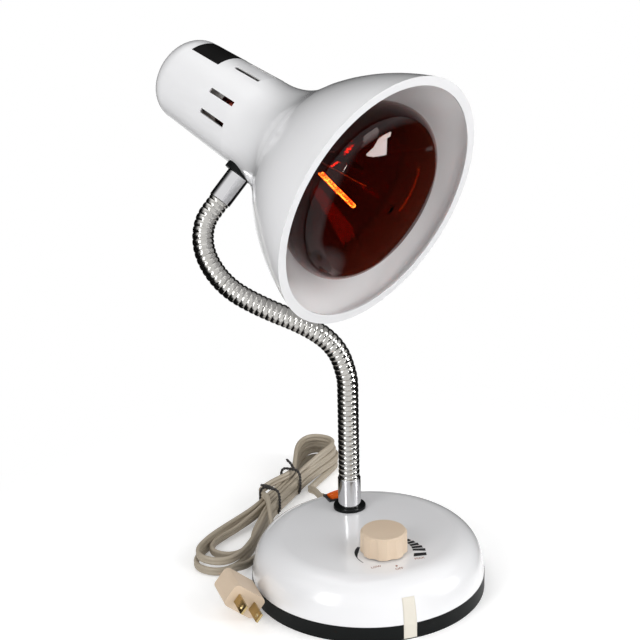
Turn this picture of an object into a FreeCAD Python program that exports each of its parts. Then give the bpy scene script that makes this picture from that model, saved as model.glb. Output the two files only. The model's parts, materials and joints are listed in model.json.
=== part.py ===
import FreeCAD, Part
import math
import os
import Sketcher
from FreeCAD import Placement, Rotation, Vector

# Infrared heat therapy lamp: a weighted round base with a dimmer knob and a rocker switch,
# a gooseneck, and a spun bell shade that holds a red R125 reflector bulb in an E27 holder.
# Millimetres. The origin is the middle of the base on the table, +Z is up, the knob faces -Y.

doc = FreeCAD.newDocument("HeatLamp")
sheet = doc.addObject("Spreadsheet::Sheet", "Sizes")
pieces = []


class Measure:
    """A size as a number, with the formula that binds it to the sheet."""

    def __init__(self, number, formula):
        self.number = number
        self.formula = formula

    def join(self, other, sign, number):
        return Measure(number, f"({self.formula} {sign} {measure(other).formula})")

    def __add__(self, other):
        return self.join(other, "+", self.number + measure(other).number)

    def __sub__(self, other):
        return self.join(other, "-", self.number - measure(other).number)

    def __mul__(self, other):
        return self.join(other, "*", self.number * measure(other).number)

    def __truediv__(self, other):
        return self.join(other, "/", self.number / measure(other).number)

    def __radd__(self, other):
        return measure(other) + self

    def __rsub__(self, other):
        return measure(other) - self

    def __rmul__(self, other):
        return measure(other) * self

    def __rtruediv__(self, other):
        return measure(other) / self

    def __neg__(self):
        return Measure(-self.number, f"(0 - {self.formula})")


def measure(value):
    return value if isinstance(value, Measure) else Measure(float(value), repr(float(value)))


def sine(angle):
    return Measure(math.sin(math.radians(angle.number)), f"sin({angle.formula})")


def cosine(angle):
    return Measure(math.cos(math.radians(angle.number)), f"cos({angle.formula})")


def arc_sine(value):
    return Measure(math.degrees(math.asin(value.number)), f"asin({value.formula})")


def root(value):
    return Measure(math.sqrt(value.number), f"sqrt({value.formula})")


def size(alias, number):
    """Writes one driving dimension into the sheet."""
    row = len(sizes) + 1
    sheet.set(f"A{row}", alias)
    sheet.set(f"B{row}", str(number))
    sheet.setAlias(f"B{row}", alias)
    sizes.append(alias)
    return Measure(float(number), f"Sizes.{alias}")


sizes = []

# Clearances
seat_gap = size("seat_gap", 0.2)
moving_gap = size("moving_gap", 0.3)
shaft_gap = size("shaft_gap", 0.05)

# Base
base_radius = size("base_radius", 80)
rim_height = size("rim_height", 11.1)
rim_wall = size("rim_wall", 4.5)
rim_lip_height = size("rim_lip_height", 4)
rim_lip_wall = size("rim_lip_wall", 2.4)
rim_ledge_width = size("rim_ledge_width", 6)
rim_ledge_top = size("rim_ledge_top", 3.6)
rim_ledge_thick = size("rim_ledge_thick", 2)
dome_height = size("dome_height", 41)
dome_wall = size("dome_wall", 1.4)
dome_foot_inset = size("dome_foot_inset", 0.2)
crown_radius = size("crown_radius", 843)
crown_margin = size("crown_margin", 21.194)
shoulder_radius = size("shoulder_radius", 21)
shoulder_angle = size("shoulder_angle", 75)
flank_radius = size("flank_radius", 88)
gland_notch = size("gland_notch", 15)
plate_thick = size("plate_thick", 1.5)
ballast_radius = size("ballast_radius", 64)
ballast_thick = size("ballast_thick", 11)
post_circle = size("post_circle", 54)
post_radius = size("post_radius", 4)
post_count = size("post_count", 3)
screw_shank = size("screw_shank", 2)
screw_head = size("screw_head", 3.8)
screw_head_thick = size("screw_head_thick", 1.6)
screw_length = size("screw_length", 9)

# Gooseneck and its fittings
arm_offset = size("arm_offset", 37.1)
ferrule_radius = size("ferrule_radius", 8)
ferrule_length = size("ferrule_length", 21.4)
ferrule_floor = size("ferrule_floor", 8)
hose_radius = size("hose_radius", 7.4)
hose_bore = size("hose_bore", 3)
ridge_pitch = size("ridge_pitch", 3.8)
ridge_height = size("ridge_height", 0.8)
ridge_sink = size("ridge_sink", 0.5)
ridge_foot = size("ridge_foot", 3.2)
ridge_crest = size("ridge_crest", 1.6)
ball_radius = size("ball_radius", 5.6)
ball_shoulder = size("ball_shoulder", 2.6)
first_joint_height = size("first_joint_height", 34)
hose_last_run = size("hose_last_run", 18.7)
hose_in_ferrule = size("hose_in_ferrule", 9)
thread_radius = size("thread_radius", 5)
thread_bore = size("thread_bore", 3.2)
washer_radius = size("washer_radius", 11.2)
lower_washer_thick = size("lower_washer_thick", 2.2)
upper_washer_thick = size("upper_washer_thick", 2.5)
nut_flats = size("nut_flats", 14)
nut_thick = size("nut_thick", 3.6)
lock_washer_radius = size("lock_washer_radius", 8.4)
lock_washer_thick = size("lock_washer_thick", 1.2)

# Dimmer
dimmer_offset = size("dimmer_offset", -31.9)
knob_radius = size("knob_radius", 15.8)
knob_height = size("knob_height", 16)
knob_crown = size("knob_crown", 1.6)
knob_flutes = size("knob_flutes", 8)
flute_radius = size("flute_radius", 9)
flute_depth = size("flute_depth", 1.1)
knob_gap = size("knob_gap", 0.6)
knob_wall = size("knob_wall", 2.2)
hub_radius = size("hub_radius", 5.4)
shaft_radius = size("shaft_radius", 3)
shaft_top = size("shaft_top", 13)
bush_radius = size("bush_radius", 3.5)
bush_height = size("bush_height", 6)
bush_nut_flats = size("bush_nut_flats", 10)
bush_nut_thick = size("bush_nut_thick", 2)
dimmer_radius = size("dimmer_radius", 12)
dimmer_depth = size("dimmer_depth", 9)
dimmer_shoulder = size("dimmer_shoulder", 5)
dimmer_shoulder_height = size("dimmer_shoulder_height", 1)
board_length = size("board_length", 40)
board_width = size("board_width", 30)
board_thick = size("board_thick", 1.6)

# Rocker switch
switch_offset = size("switch_offset", 57.5)
switch_height = size("switch_height", 38.4)
switch_tilt = size("switch_tilt", 9.5)
bezel_length = size("bezel_length", 21)
bezel_width = size("bezel_width", 15)
bezel_thick = size("bezel_thick", 1.5)
bezel_frame = size("bezel_frame", 1.4)
switch_length = size("switch_length", 18.6)
switch_width = size("switch_width", 12.6)
switch_depth = size("switch_depth", 13)
rocker_rise = size("rocker_rise", 2.2)
rocker_dip = size("rocker_dip", 0.6)
rocker_dish = size("rocker_dish", 40)
rocker_end_gap = size("rocker_end_gap", 1.2)
rocker_drop = size("rocker_drop", 7)
rocker_pin_drop = size("rocker_pin_drop", 1.5)
rocker_pin = size("rocker_pin", 1)

# Shade, in its own frame: the mouth is at zero and the neck runs back along -Z
shade_radius = size("shade_radius", 89.7)
mouth_radius = size("mouth_radius", 83.2)
lip_thick = size("lip_thick", 1.6)
shade_wall = size("shade_wall", 1.2)
bell_length = size("bell_length", 116.4)
bell_mouth_angle = size("bell_mouth_angle", 16.7)
bell_swell_radius = size("bell_swell_radius", 160.4)
bell_straight = size("bell_straight", 12.7)
flare_angle = size("flare_angle", 41.9)
flare_radius = size("flare_radius", 74.2)
throat_radius = size("throat_radius", 33.2)
throat_station = size("throat_station", 114.5)
neck_back_radius = size("neck_back_radius", 30)
neck_end = size("neck_end", 181.8)
neck_round = size("neck_round", 16.2)
slot_length = size("slot_length", 23.6)
slot_width = size("slot_width", 3.4)
slot_middle = size("slot_middle", 129)
slot_pitch = size("slot_pitch", 27.6)
slot_places = size("slot_places", 5)
bracket_station = size("bracket_station", 103)

# Lamp holder and bulb
holder_radius = size("holder_radius", 21.5)
holder_front = size("holder_front", 137)
holder_back = size("holder_back", 184.6)
holder_mouth = size("holder_mouth", 20.4)
holder_mouth_depth = size("holder_mouth_depth", 9)
thread_shell_radius = size("thread_shell_radius", 14.3)
thread_shell_wall = size("thread_shell_wall", 0.5)
holder_floor = size("holder_floor", 176)
strap_thick = size("strap_thick", 1.5)
strap_width = size("strap_width", 14)
strap_outside = size("strap_outside", 31)
strap_bend_gap = size("strap_bend_gap", 2.6)
strap_foot = size("strap_foot", 12.5)
holder_screw_offset = size("holder_screw_offset", 9)
holder_screw_radius = size("holder_screw_radius", 1.5)
holder_screw_length = size("holder_screw_length", 7)
bulb_radius = size("bulb_radius", 62.5)
bulb_face = size("bulb_face", 9.7)
face_radius = size("face_radius", 150)
face_angle = size("face_angle", 20)
reflector_round = size("reflector_round", 30)
reflector_angle = size("reflector_angle", 45)
reflector_waist = size("reflector_waist", 30)
bulb_neck_radius = size("bulb_neck_radius", 20.2)
bulb_neck_back_radius = size("bulb_neck_back_radius", 19)
bulb_taper = size("bulb_taper", 11)
bulb_neck_end = size("bulb_neck_end", 145)
bulb_stub_radius = size("bulb_stub_radius", 13.4)
glass_wall = size("glass_wall", 1.1)
cap_radius = size("cap_radius", 13.2)
cap_end = size("cap_end", 168)
cap_contact = size("cap_contact", 171)
contact_radius = size("contact_radius", 4.5)
stem_radius = size("stem_radius", 8)
stem_front = size("stem_front", 78)
filament_station = size("filament_station", 32)
filament_half = size("filament_half", 28)
filament_offset = size("filament_offset", 8)
filament_radius = size("filament_radius", 1.3)
support_radius = size("support_radius", 0.6)
support_spread = size("support_spread", 4)

# Head pose: the mouth looks this far right of the front, and this far down
head_turn = size("head_turn", 28.1)
head_drop = size("head_drop", 17.9)
head_roll = size("head_roll", 40)

# Mains cord
cord_width = size("cord_width", 6)
gland_height = size("gland_height", 17.6)
gland_flange_radius = size("gland_flange_radius", 6.3)
gland_flange_thick = size("gland_flange_thick", 2.5)
gland_body_radius = size("gland_body_radius", 4.8)
gland_tip_radius = size("gland_tip_radius", 3.6)
gland_nose = size("gland_nose", 22)
gland_grip = size("gland_grip", 9)
plug_length = size("plug_length", 26)
plug_width = size("plug_width", 25.5)
plug_thick = size("plug_thick", 16.5)
plug_corner = size("plug_corner", 3.5)
plug_roll = size("plug_roll", 39)
blade_pitch = size("blade_pitch", 12.7)
blade_length = size("blade_length", 17)
blade_width = size("blade_width", 6.4)
blade_thick = size("blade_thick", 1.5)
tie_thick = size("tie_thick", 1.2)

doc.recompute()


# --- ways of making a piece -------------------------------------------------------------

UPRIGHT = Placement()


def keep(item, label, placement=UPRIGHT):
    """Names a finished sub-part and puts it in its place."""
    item.Label = label
    item.Placement = placement
    pieces.append(item)
    return item


def sketch_on(body, role):
    drawing = body.newObject("Sketcher::SketchObject", "Sketch")
    plane = next(f for f in body.Origin.OriginFeatures if f.Role == role)
    drawing.AttachmentSupport = [(plane, "")]
    drawing.MapMode = "FlatFace"
    return drawing


def hold(drawing, kind, where, value):
    """One dimension of a sketch, bound to the sheet."""
    value = measure(value)
    index = drawing.addConstraint(Sketcher.Constraint(kind, *where, value.number))
    drawing.setExpression(f"Constraints[{index}]", value.formula)


def arc_between(a, b, radius):
    """A circle's arc from a to b; a radius above zero turns left on the way, below zero right."""
    chord = b.sub(a)
    left = Vector(-chord.y, chord.x, 0).normalize()
    reach = math.copysign(math.sqrt(radius**2 - (chord.Length / 2) ** 2), radius)
    middle = a.add(b).multiply(0.5).add(left.multiply(reach))
    start, stop = (a, b) if radius > 0 else (b, a)
    first = math.atan2(start.y - middle.y, start.x - middle.x)
    last = math.atan2(stop.y - middle.y, stop.x - middle.x)
    ring = Part.Circle(middle, Vector(0, 0, 1), abs(radius))
    return Part.ArcOfCircle(ring, first, last if last > first else last + 2 * math.pi)


def outline(drawing, corners):
    """A closed outline, each corner held from the sketch's origin.

    A corner is x and y, and for an arc to the next corner also its radius as arc_between takes it.
    """
    corners = [tuple(measure(value) for value in corner) for corner in corners]
    spots = [Vector(corner[0].number, corner[1].number, 0) for corner in corners]
    first = drawing.GeometryCount
    starts = []
    for n, corner in enumerate(corners):
        following = spots[(n + 1) % len(spots)]
        if len(corner) == 2:
            drawing.addGeometry(Part.LineSegment(spots[n], following), False)
            starts.append(1)
        else:
            drawing.addGeometry(arc_between(spots[n], following, corner[2].number), False)
            starts.append(1 if corner[2].number > 0 else 2)
    for n in range(len(corners)):
        following = (n + 1) % len(corners)
        ends = (first + n, 3 - starts[n], first + following, starts[following])
        drawing.addConstraint(Sketcher.Constraint("Coincident", *ends))
    for n, corner in enumerate(corners):
        hold(drawing, "DistanceX", (-1, 1, first + n, starts[n]), corner[0])
        hold(drawing, "DistanceY", (-1, 1, first + n, starts[n]), corner[1])
        if len(corner) == 3:
            hold(drawing, "Radius", (first + n,), corner[2] if corner[2].number > 0 else -corner[2])


def spun_solid(corners):
    """The solid that an outline of radius and height sweeps about Z, as a plain shape."""
    corners = [tuple(measure(value).number for value in corner) for corner in corners]
    spots = [Vector(corner[0], corner[1], 0) for corner in corners]
    edges = []
    for n, corner in enumerate(corners):
        following = spots[(n + 1) % len(spots)]
        if len(corner) == 2:
            edges.append(line(spots[n], following))
        else:
            edges.append(arc_between(spots[n], following, corner[2]).toShape())
    face = Part.Face(Part.Wire(edges))
    face.rotate(Vector(0, 0, 0), Vector(1, 0, 0), 90)
    return face.revolve(Vector(0, 0, 0), Vector(0, 0, 1), 360)


def with_arcs(points, radii):
    """Adds to each point the radius of the arc that follows it, where there is one."""
    return [point if radius is None else (*point, radius) for point, radius in zip(points, radii)]


def circle(drawing, x, y, radius):
    x, y, radius = measure(x), measure(y), measure(radius)
    n = drawing.addGeometry(Part.Circle(Vector(x.number, y.number, 0), Vector(0, 0, 1), radius.number), False)
    hold(drawing, "DistanceX", (-1, 1, n, 3), x)
    hold(drawing, "DistanceY", (-1, 1, n, 3), y)
    hold(drawing, "Radius", (n,), radius)


def rectangle(drawing, x, y, length, width):
    """A rectangle about the point x, y."""
    across, along = measure(length) / 2, measure(width) / 2
    x, y = measure(x), measure(y)
    left, right = x - across, x + across
    low, high = y - along, y + along
    outline(drawing, [(left, low), (right, low), (right, high), (left, high)])


def new_body(label, placement=UPRIGHT):
    return keep(doc.addObject("PartDesign::Body", label), label, placement)


def feature(body, kind, drawing, length=None, back=False):
    """A pad or a pocket of a sketch; back turns it to the other side of the sketch's plane."""
    made = body.newObject(f"PartDesign::{kind}", kind)
    made.Profile = drawing
    if length is not None:
        made.Length = measure(length).number
        made.setExpression("Length", measure(length).formula)
    made.Reversed = back
    return made


def turned(body, corners, kind="Revolution"):
    """Spins an outline of radius and height about the body's own Z axis."""
    drawing = sketch_on(body, "XZ_Plane")
    outline(drawing, corners)
    made = body.newObject(f"PartDesign::{kind}", kind)
    made.Profile = drawing
    made.ReferenceAxis = (drawing, ["V_Axis"])
    made.Angle = 360
    return made


def pad(body, draw, bottom, height):
    """Draws on the XY plane, lifts the sketch to bottom and pads it upwards."""
    drawing = sketch_on(body, "XY_Plane")
    draw(drawing)
    lift(drawing, bottom)
    return feature(body, "Pad", drawing, height)


def pocket(body, draw, bottom, height):
    """Cuts a sketch out from bottom upwards."""
    drawing = sketch_on(body, "XY_Plane")
    draw(drawing)
    lift(drawing, bottom)
    return feature(body, "Pocket", drawing, height, back=True)


def lift(drawing, height):
    height = measure(height)
    drawing.AttachmentOffset = Placement(Vector(0, 0, height.number), Rotation())
    drawing.setExpression("AttachmentOffset.Base.z", height.formula)


def around(body, made, count):
    """Repeats a feature evenly about the body's Z axis."""
    axis = next(f for f in body.Origin.OriginFeatures if f.Role == "Z_Axis")
    pattern = body.newObject("PartDesign::PolarPattern", "PolarPattern")
    pattern.Originals = [made]
    pattern.Axis = (axis, [""])
    pattern.Angle = 360
    pattern.Occurrences = int(measure(count).number)
    pattern.setExpression("Occurrences", measure(count).formula)
    body.Tip = pattern
    return pattern


def shaped(label, shape, placement=UPRIGHT):
    """A sub-part whose form is a free curve or a bent tube."""
    item = doc.addObject("Part::Feature", label)
    item.Shape = shape
    return keep(item, label, placement)


def hex_points(flats):
    corner = measure(flats) / math.sqrt(3)
    half = measure(flats) / 2
    top = [(corner, 0), (corner / 2, half), (-corner / 2, half)]
    return top + [(-x, -measure(y)) for x, y in top]


def nut(label, flats, thick, hole, placement):
    body = new_body(label, placement)
    pad(body, lambda s: outline(s, hex_points(flats)), 0, thick)
    pocket(body, lambda s: circle(s, 0, 0, hole), -1, measure(thick) + 2)
    return body


def ring(label, outer, inner, thick, placement):
    body = new_body(label, placement)
    turned(body, [(inner, 0), (outer, 0), (outer, thick), (inner, thick)])
    return body


def line(a, b):
    return Part.LineSegment(a, b).toShape()


def box_about(length, width, height, placement=UPRIGHT):
    """A box about the Z axis that stands on its own origin."""
    box = Part.makeBox(length, width, height, Vector(-length / 2, -width / 2, 0))
    box.Placement = placement
    return box


def rod(radius, length, start, direction=Vector(0, 0, 1)):
    return Part.makeCylinder(radius, length, start, direction)


# --- the base ---------------------------------------------------------------------------


def dome_outline(wall):
    """The dome's profile from its foot to its top, one wall further in: points, and arc radii."""
    crown_angle = arc_sine((base_radius - crown_margin) / crown_radius)
    crown = crown_radius - wall
    shoulder = shoulder_radius - wall
    crown_x = crown * sine(crown_angle)
    crown_z = dome_height - wall - crown * (1 - cosine(crown_angle))
    shoulder_x = crown_x + shoulder * (sine(shoulder_angle) - sine(crown_angle))
    shoulder_z = crown_z + shoulder * (cosine(shoulder_angle) - cosine(crown_angle))
    foot = (base_radius - dome_foot_inset - wall, rim_height)
    top = (measure(0), dome_height - wall)
    return [foot, (shoulder_x, shoulder_z), (crown_x, crown_z), top], [flank_radius - wall, shoulder, crown]


def crown_height(radius):
    """The height of the dome's outside near its middle."""
    return dome_height - crown_radius + root(crown_radius * crown_radius - radius * radius)


def flank_offset(height):
    """How far the dome's outside is from its axis at a height on its flank."""
    points, radii = dome_outline(0)
    low = Vector(points[0][0].number, points[0][1].number, 0)
    high = Vector(points[1][0].number, points[1][1].number, 0)
    middle = arc_between(low, high, radii[0].number).Center
    return middle.x + math.sqrt(radii[0].number ** 2 - (height.number - middle.y) ** 2)


arm_foot = Vector(0, arm_offset.number, crown_height(arm_offset).number)
knob_foot = Vector(0, dimmer_offset.number, crown_height(dimmer_offset).number)
switch_pose = Placement(
    Vector(0, switch_offset.number, switch_height.number), Rotation(Vector(1, 0, 0), -switch_tilt.number)
)
gland_seat = Vector(0, flank_offset(gland_height), gland_height.number)


def dome_solid():
    """The body within the dome's outside, by which the washer and the gland are trimmed."""
    points, radii = dome_outline(0)
    return spun_solid([*with_arcs(points, [*radii, None]), (0, rim_height)])


def make_shell():
    """The spun dome, with its holes and a flat let into it for the switch."""
    shell = new_body("base_shell")
    outer, outer_radii = dome_outline(0)
    inner, inner_radii = dome_outline(dome_wall)
    way_up = with_arcs(outer, [*outer_radii, None])
    way_down = with_arcs(inner[::-1], [*(-radius for radius in inner_radii[::-1]), None])
    turned(shell, way_up + way_down)
    deep = dome_height
    pocket(shell, lambda s: circle(s, 0, arm_offset, thread_radius + seat_gap), rim_height, deep)
    pocket(shell, lambda s: circle(s, 0, dimmer_offset, bush_radius + seat_gap), rim_height, deep)
    window = (switch_length + seat_gap * 2, switch_width + seat_gap * 2)
    landing = (bezel_length + seat_gap * 2, bezel_width + seat_gap * 2)
    for (length, width), below in ((window, dome_wall * 6), (landing, measure(0))):
        drawing = sketch_on(shell, "XY_Plane")
        rectangle(drawing, 0, 0, length, width)
        tilt_to_switch(drawing, below)
        feature(shell, "Pocket", drawing, dome_height, back=True)
    drawing = sketch_on(shell, "XZ_Plane")
    circle(drawing, 0, gland_height, gland_body_radius + seat_gap)
    feature(shell, "Pocket", drawing, base_radius, back=False)
    return shell


def tilt_to_switch(drawing, below):
    """Lays a sketch in the switch's plane, or that far under it."""
    drop = Vector(0, 0, -below.number)
    drawing.AttachmentOffset = switch_pose.multiply(Placement(drop, Rotation()))
    drawing.setExpression("AttachmentOffset.Base.y", (switch_offset - below * sine(switch_tilt)).formula)
    drawing.setExpression("AttachmentOffset.Base.z", (switch_height - below * cosine(switch_tilt)).formula)


def make_rim():
    """The rubber rim: a wall with a ledge for the bottom plate and a lip inside the dome."""
    body = new_body("base_rim")
    inner = base_radius - rim_wall
    lip_outer = base_radius - dome_foot_inset - dome_wall - seat_gap * 2
    lip_inner = lip_outer - rim_lip_wall
    lip_top = rim_height + rim_lip_height
    ledge_inner = inner - rim_ledge_width
    ledge_bottom = rim_ledge_top - rim_ledge_thick
    turned(
        body,
        [
            (inner, 0),
            (base_radius, 0),
            (base_radius, rim_height),
            (lip_outer, rim_height),
            (lip_outer - rim_lip_height * 0.12, lip_top),
            (lip_inner, lip_top),
            (lip_inner, rim_height),
            (inner, rim_height),
            (inner, rim_ledge_top),
            (ledge_inner, rim_ledge_top),
            (ledge_inner, ledge_bottom),
            (inner, ledge_bottom),
        ],
    )
    pocket(body, lambda s: rectangle(s, 0, base_radius, gland_notch, rim_wall * 4), rim_height, lip_top)
    return body


def make_bottom():
    """The steel plate, the cast ballast on it, and the posts and screws that hold them."""
    plate = new_body("bottom_plate")
    plate_radius = base_radius - rim_wall - seat_gap
    pad(plate, lambda s: circle(s, 0, 0, plate_radius), rim_ledge_top, plate_thick)
    holes = pocket(plate, lambda s: circle(s, 0, -post_circle, screw_shank + seat_gap), 0, rim_ledge_top * 3)
    around(plate, holes, post_count)
    plate_top = rim_ledge_top + plate_thick
    ballast = new_body("ballast_weight")
    pad(ballast, lambda s: circle(s, 0, 0, ballast_radius), plate_top, ballast_thick)
    clear_post = post_radius + seat_gap
    holes = pocket(ballast, lambda s: circle(s, 0, -post_circle, clear_post), 0, ballast_thick * 3)
    around(ballast, holes, post_count)
    post_top = crown_height(post_circle + post_radius) - dome_wall - shaft_gap
    head_low = rim_ledge_top - screw_head_thick
    bore_top = head_low + screw_length + 1
    for n in range(int(post_count.number)):
        turn = Rotation(Vector(0, 0, 1), 360 / post_count.number * n)
        pose = Placement(turn.multVec(Vector(0, -post_circle.number, 0)), turn)
        post = new_body(f"base_post_{n + 1}", pose)
        turned(
            post,
            [
                (screw_shank + shaft_gap, plate_top),
                (post_radius, plate_top),
                (post_radius, post_top),
                (0, post_top),
                (0, bore_top),
                (screw_shank + shaft_gap, bore_top),
            ],
        )
        screw = new_body(f"bottom_screw_{n + 1}", pose)
        turned(
            screw,
            [
                (0, head_low),
                (screw_head, head_low),
                (screw_head, rim_ledge_top),
                (screw_shank, rim_ledge_top),
                (screw_shank, head_low + screw_length),
                (0, head_low + screw_length),
            ],
        )
        pocket(screw, lambda s: rectangle(s, 0, 0, screw_head * 3, 0.9), head_low, 0.8)


def make_dimmer():
    """The dimmer hangs from the dome by its threaded bush; the knob sits on its shaft."""
    pose = Placement(knob_foot, Rotation())
    under = -dome_wall - seat_gap
    low = under - dimmer_shoulder_height
    body = new_body("dimmer_body", pose)
    turned(
        body,
        [
            (shaft_radius + shaft_gap, low - dimmer_depth),
            (dimmer_radius, low - dimmer_depth),
            (dimmer_radius, low),
            (dimmer_shoulder, low),
            (dimmer_shoulder, under),
            (bush_radius, under),
            (bush_radius, bush_height),
            (shaft_radius + shaft_gap, bush_height),
        ],
    )
    nut_pose = pose.multiply(upward(0, 0, seat_gap.number))
    nut("dimmer_nut", bush_nut_flats, bush_nut_thick, bush_radius + shaft_gap, nut_pose)
    board = new_body("dimmer_board", pose)
    board_top = low - dimmer_depth
    pad(board, lambda s: rectangle(s, 0, 0, board_length, board_width), board_top - board_thick, board_thick)
    shaft = new_body("dimmer_shaft", pose)
    shaft_low = board_top + 0.5
    turned(shaft, [(0, shaft_low), (shaft_radius, shaft_low), (shaft_radius, shaft_top), (0, shaft_top)])
    make_components(pose, (board_top - board_thick).number)
    make_knob(pose)


def make_components(pose, ceiling):
    """The choke, the triac, a capacitor and a resistor that hang from the dimmer's board."""
    choke = rod(5, 6, Vector(12, 7, ceiling - 6)).cut(rod(2, 6, Vector(12, 7, ceiling - 6)))
    triac = box_about(9, 4, 9, upward(-13, -8, ceiling - 9))
    capacitor = box_about(8, 5, 7, upward(-12, 8, ceiling - 7))
    resistor = rod(1.5, 9, Vector(8, -9, ceiling - 1.5), Vector(1, 0, 0))
    shaped("dimmer_components", Part.Compound([choke, triac, capacitor, resistor]), pose)


def make_knob(pose):
    knob = new_body("knob", pose)
    inside = knob_radius - knob_wall - flute_depth
    turned(
        knob,
        [
            (0, knob_height),
            (0, shaft_top),
            (shaft_radius, shaft_top),
            (shaft_radius, bush_height + knob_gap),
            (hub_radius, bush_height + knob_gap),
            (hub_radius, knob_height - knob_wall - 1),
            (inside, knob_height - knob_wall - 1),
            (inside, knob_gap),
            (knob_radius, knob_gap),
            (knob_radius - 0.3, knob_height - knob_crown),
            (knob_radius - 1.6, knob_height - 0.4),
        ],
    )
    flute_middle = knob_radius + flute_radius - flute_depth
    flute = pocket(knob, lambda s: circle(s, flute_middle, 0, flute_radius), 0, knob_height + 2)
    around(knob, flute, knob_flutes)


def make_switch():
    """A rocker switch snapped into the window behind the gooseneck."""
    case = new_body("switch_body", switch_pose)
    pad(case, lambda s: rectangle(s, 0, 0, bezel_length, bezel_width), 0, bezel_thick)
    pad(case, lambda s: rectangle(s, 0, 0, switch_length, switch_width), -switch_depth, switch_depth)
    well_length = bezel_length - bezel_frame * 2
    well_width = bezel_width - bezel_frame * 2
    pocket(case, lambda s: rectangle(s, 0, 0, well_length, well_width), -rocker_drop - 1, switch_depth)
    drilling = sketch_on(case, "XZ_Plane")
    circle(drilling, 0, -rocker_pin_drop, rocker_pin + shaft_gap)
    holes = feature(case, "Pocket", drilling, well_width + 1.4)
    holes.Midplane = True
    make_rocker(well_length / 2 - rocker_end_gap, well_width - moving_gap * 2)
    tabs = [box_about(0.8, 4.8, 7, upward(x, 0, -switch_depth.number - 7)) for x in (-5.5, 0, 5.5)]
    shaped("switch_terminals", Part.Compound(tabs), switch_pose)


def make_rocker(half, wide):
    """The dished orange rocker on its pin, tipped to the side that is pressed in."""
    rocker = new_body("switch_rocker", switch_pose)
    drawing = sketch_on(rocker, "XZ_Plane")
    shoulder = -rocker_pin_drop
    outline(
        drawing,
        [
            (-half, shoulder, half * 1.15),
            (half, shoulder),
            (half, bezel_thick + rocker_rise, rocker_dish),
            (-half, bezel_thick + rocker_dip),
        ],
    )
    feature(rocker, "Pad", drawing, wide).Midplane = True
    pin = sketch_on(rocker, "XZ_Plane")
    circle(pin, 0, -rocker_pin_drop, rocker_pin)
    feature(rocker, "Pad", pin, wide + 1).Midplane = True


def upward(x, y, z):
    return Placement(Vector(x, y, z), Rotation())


def make_terminal_block():
    """Joins the mains cord to the dimmer and the switch; it is screwed to the ballast."""
    top = rim_ledge_top + plate_thick + ballast_thick
    pose = Placement(Vector(-30, 8, top.number), Rotation(Vector(0, 0, 1), 90))
    body = new_body("terminal_block", pose)
    pad(body, lambda s: rectangle(s, 0, 0, 24, 10), 0, 9)
    pad(body, lambda s: rectangle(s, 0, 0, 24, 16), 0, 3)
    bores = sketch_on(body, "XZ_Plane")
    for x in (-8, 0, 8):
        circle(bores, x, 5.6, 1.7)
    through = feature(body, "Pocket", bores, 24)
    through.Midplane = True
    wells = pocket(body, lambda s: [circle(s, x, y, 1.6) for x in (-8, 0, 8) for y in (-2.6, 2.6)], 6, 4)
    return wells


def make_gland():
    """The strain relief: a flange moulded to the flank, a grip inside and a tapered nose."""
    hole = cord_width / 2 + shaft_gap
    grip = [(hole, -gland_grip), (gland_body_radius, -gland_grip), (gland_body_radius, 0), (hole, 0)]
    outside = [
        (hole, -gland_flange_thick),
        (gland_flange_radius, -gland_flange_thick),
        (gland_flange_radius, gland_flange_thick - 0.5),
        (gland_flange_radius - 0.5, gland_flange_thick),
        (gland_body_radius, gland_flange_thick),
        (gland_tip_radius, gland_nose),
        (hole, gland_nose),
    ]
    pose = Placement(gland_mouth(), Rotation(Vector(1, 0, 0), -90))
    inner, outer = spun_solid(grip), spun_solid(outside)
    inner.Placement = pose
    outer.Placement = pose
    shaped("cord_gland", outer.cut(dome_solid()).fuse(inner).removeSplitter())


def gland_mouth(out=0.0):
    """Where the gland's flange meets the flank, or a point that far out along the gland."""
    return gland_seat.add(Vector(0, seat_gap.number + out, 0))


# --- the gooseneck ----------------------------------------------------------------------

# Directions of the head: out of the mouth, and out of the neck where the gooseneck joins it
turn_angle = math.radians(head_turn.number)
drop_angle = math.radians(head_drop.number)
roll_angle = math.radians(head_roll.number)
head_axis = Vector(math.sin(turn_angle), -math.cos(turn_angle), -math.tan(drop_angle)).normalize()
head_side = head_axis.cross(Vector(0, 0, 1)).normalize()
head_down = head_side.cross(head_axis).multiply(-1).normalize()
bracket_axis = head_down.multiply(math.cos(roll_angle)).add(head_side.multiply(math.sin(roll_angle)))

hose_start = arm_foot.add(Vector(0, 0, lower_washer_thick.number + ferrule_length.number))
# Corners of the gooseneck's route from the top of the lower ferrule, bent by hand into an S
hose_corners = [
    Vector(0, 0, 75.5),
    Vector(-5.6, 3.9, 96.1),
    Vector(-22.8, 9.6, 111.8),
    Vector(-55.8, 21.4, 127.2),
    Vector(-75.6, 31.9, 140.5),
    Vector(-86.2, 43.5, 160.5),
    Vector(-83.6, 51.1, 180.2),
]


def hose_points():
    corners = [hose_start.add(c) for c in hose_corners]
    end = corners[-1].sub(Vector(bracket_axis).multiply(hose_last_run.number))
    return [hose_start, *corners, end]


def bends(points):
    """For each inner point of a route: where its arc starts and ends, its centre, radius and turn."""
    found = []
    for before, corner, after in zip(points, points[1:], points[2:]):
        back = before.sub(corner)
        ahead = after.sub(corner)
        reach = 0.45 * min(back.Length, ahead.Length)
        back.normalize()
        ahead.normalize()
        turn = math.pi - back.getAngle(ahead)
        radius = reach / math.tan(turn / 2)
        enter = corner.add(Vector(back).multiply(reach))
        leave = corner.add(Vector(ahead).multiply(reach))
        centre = corner.add(back.add(ahead).normalize().multiply(radius / math.cos(turn / 2)))
        found.append((enter, leave, centre, radius, turn))
    return found


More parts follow.
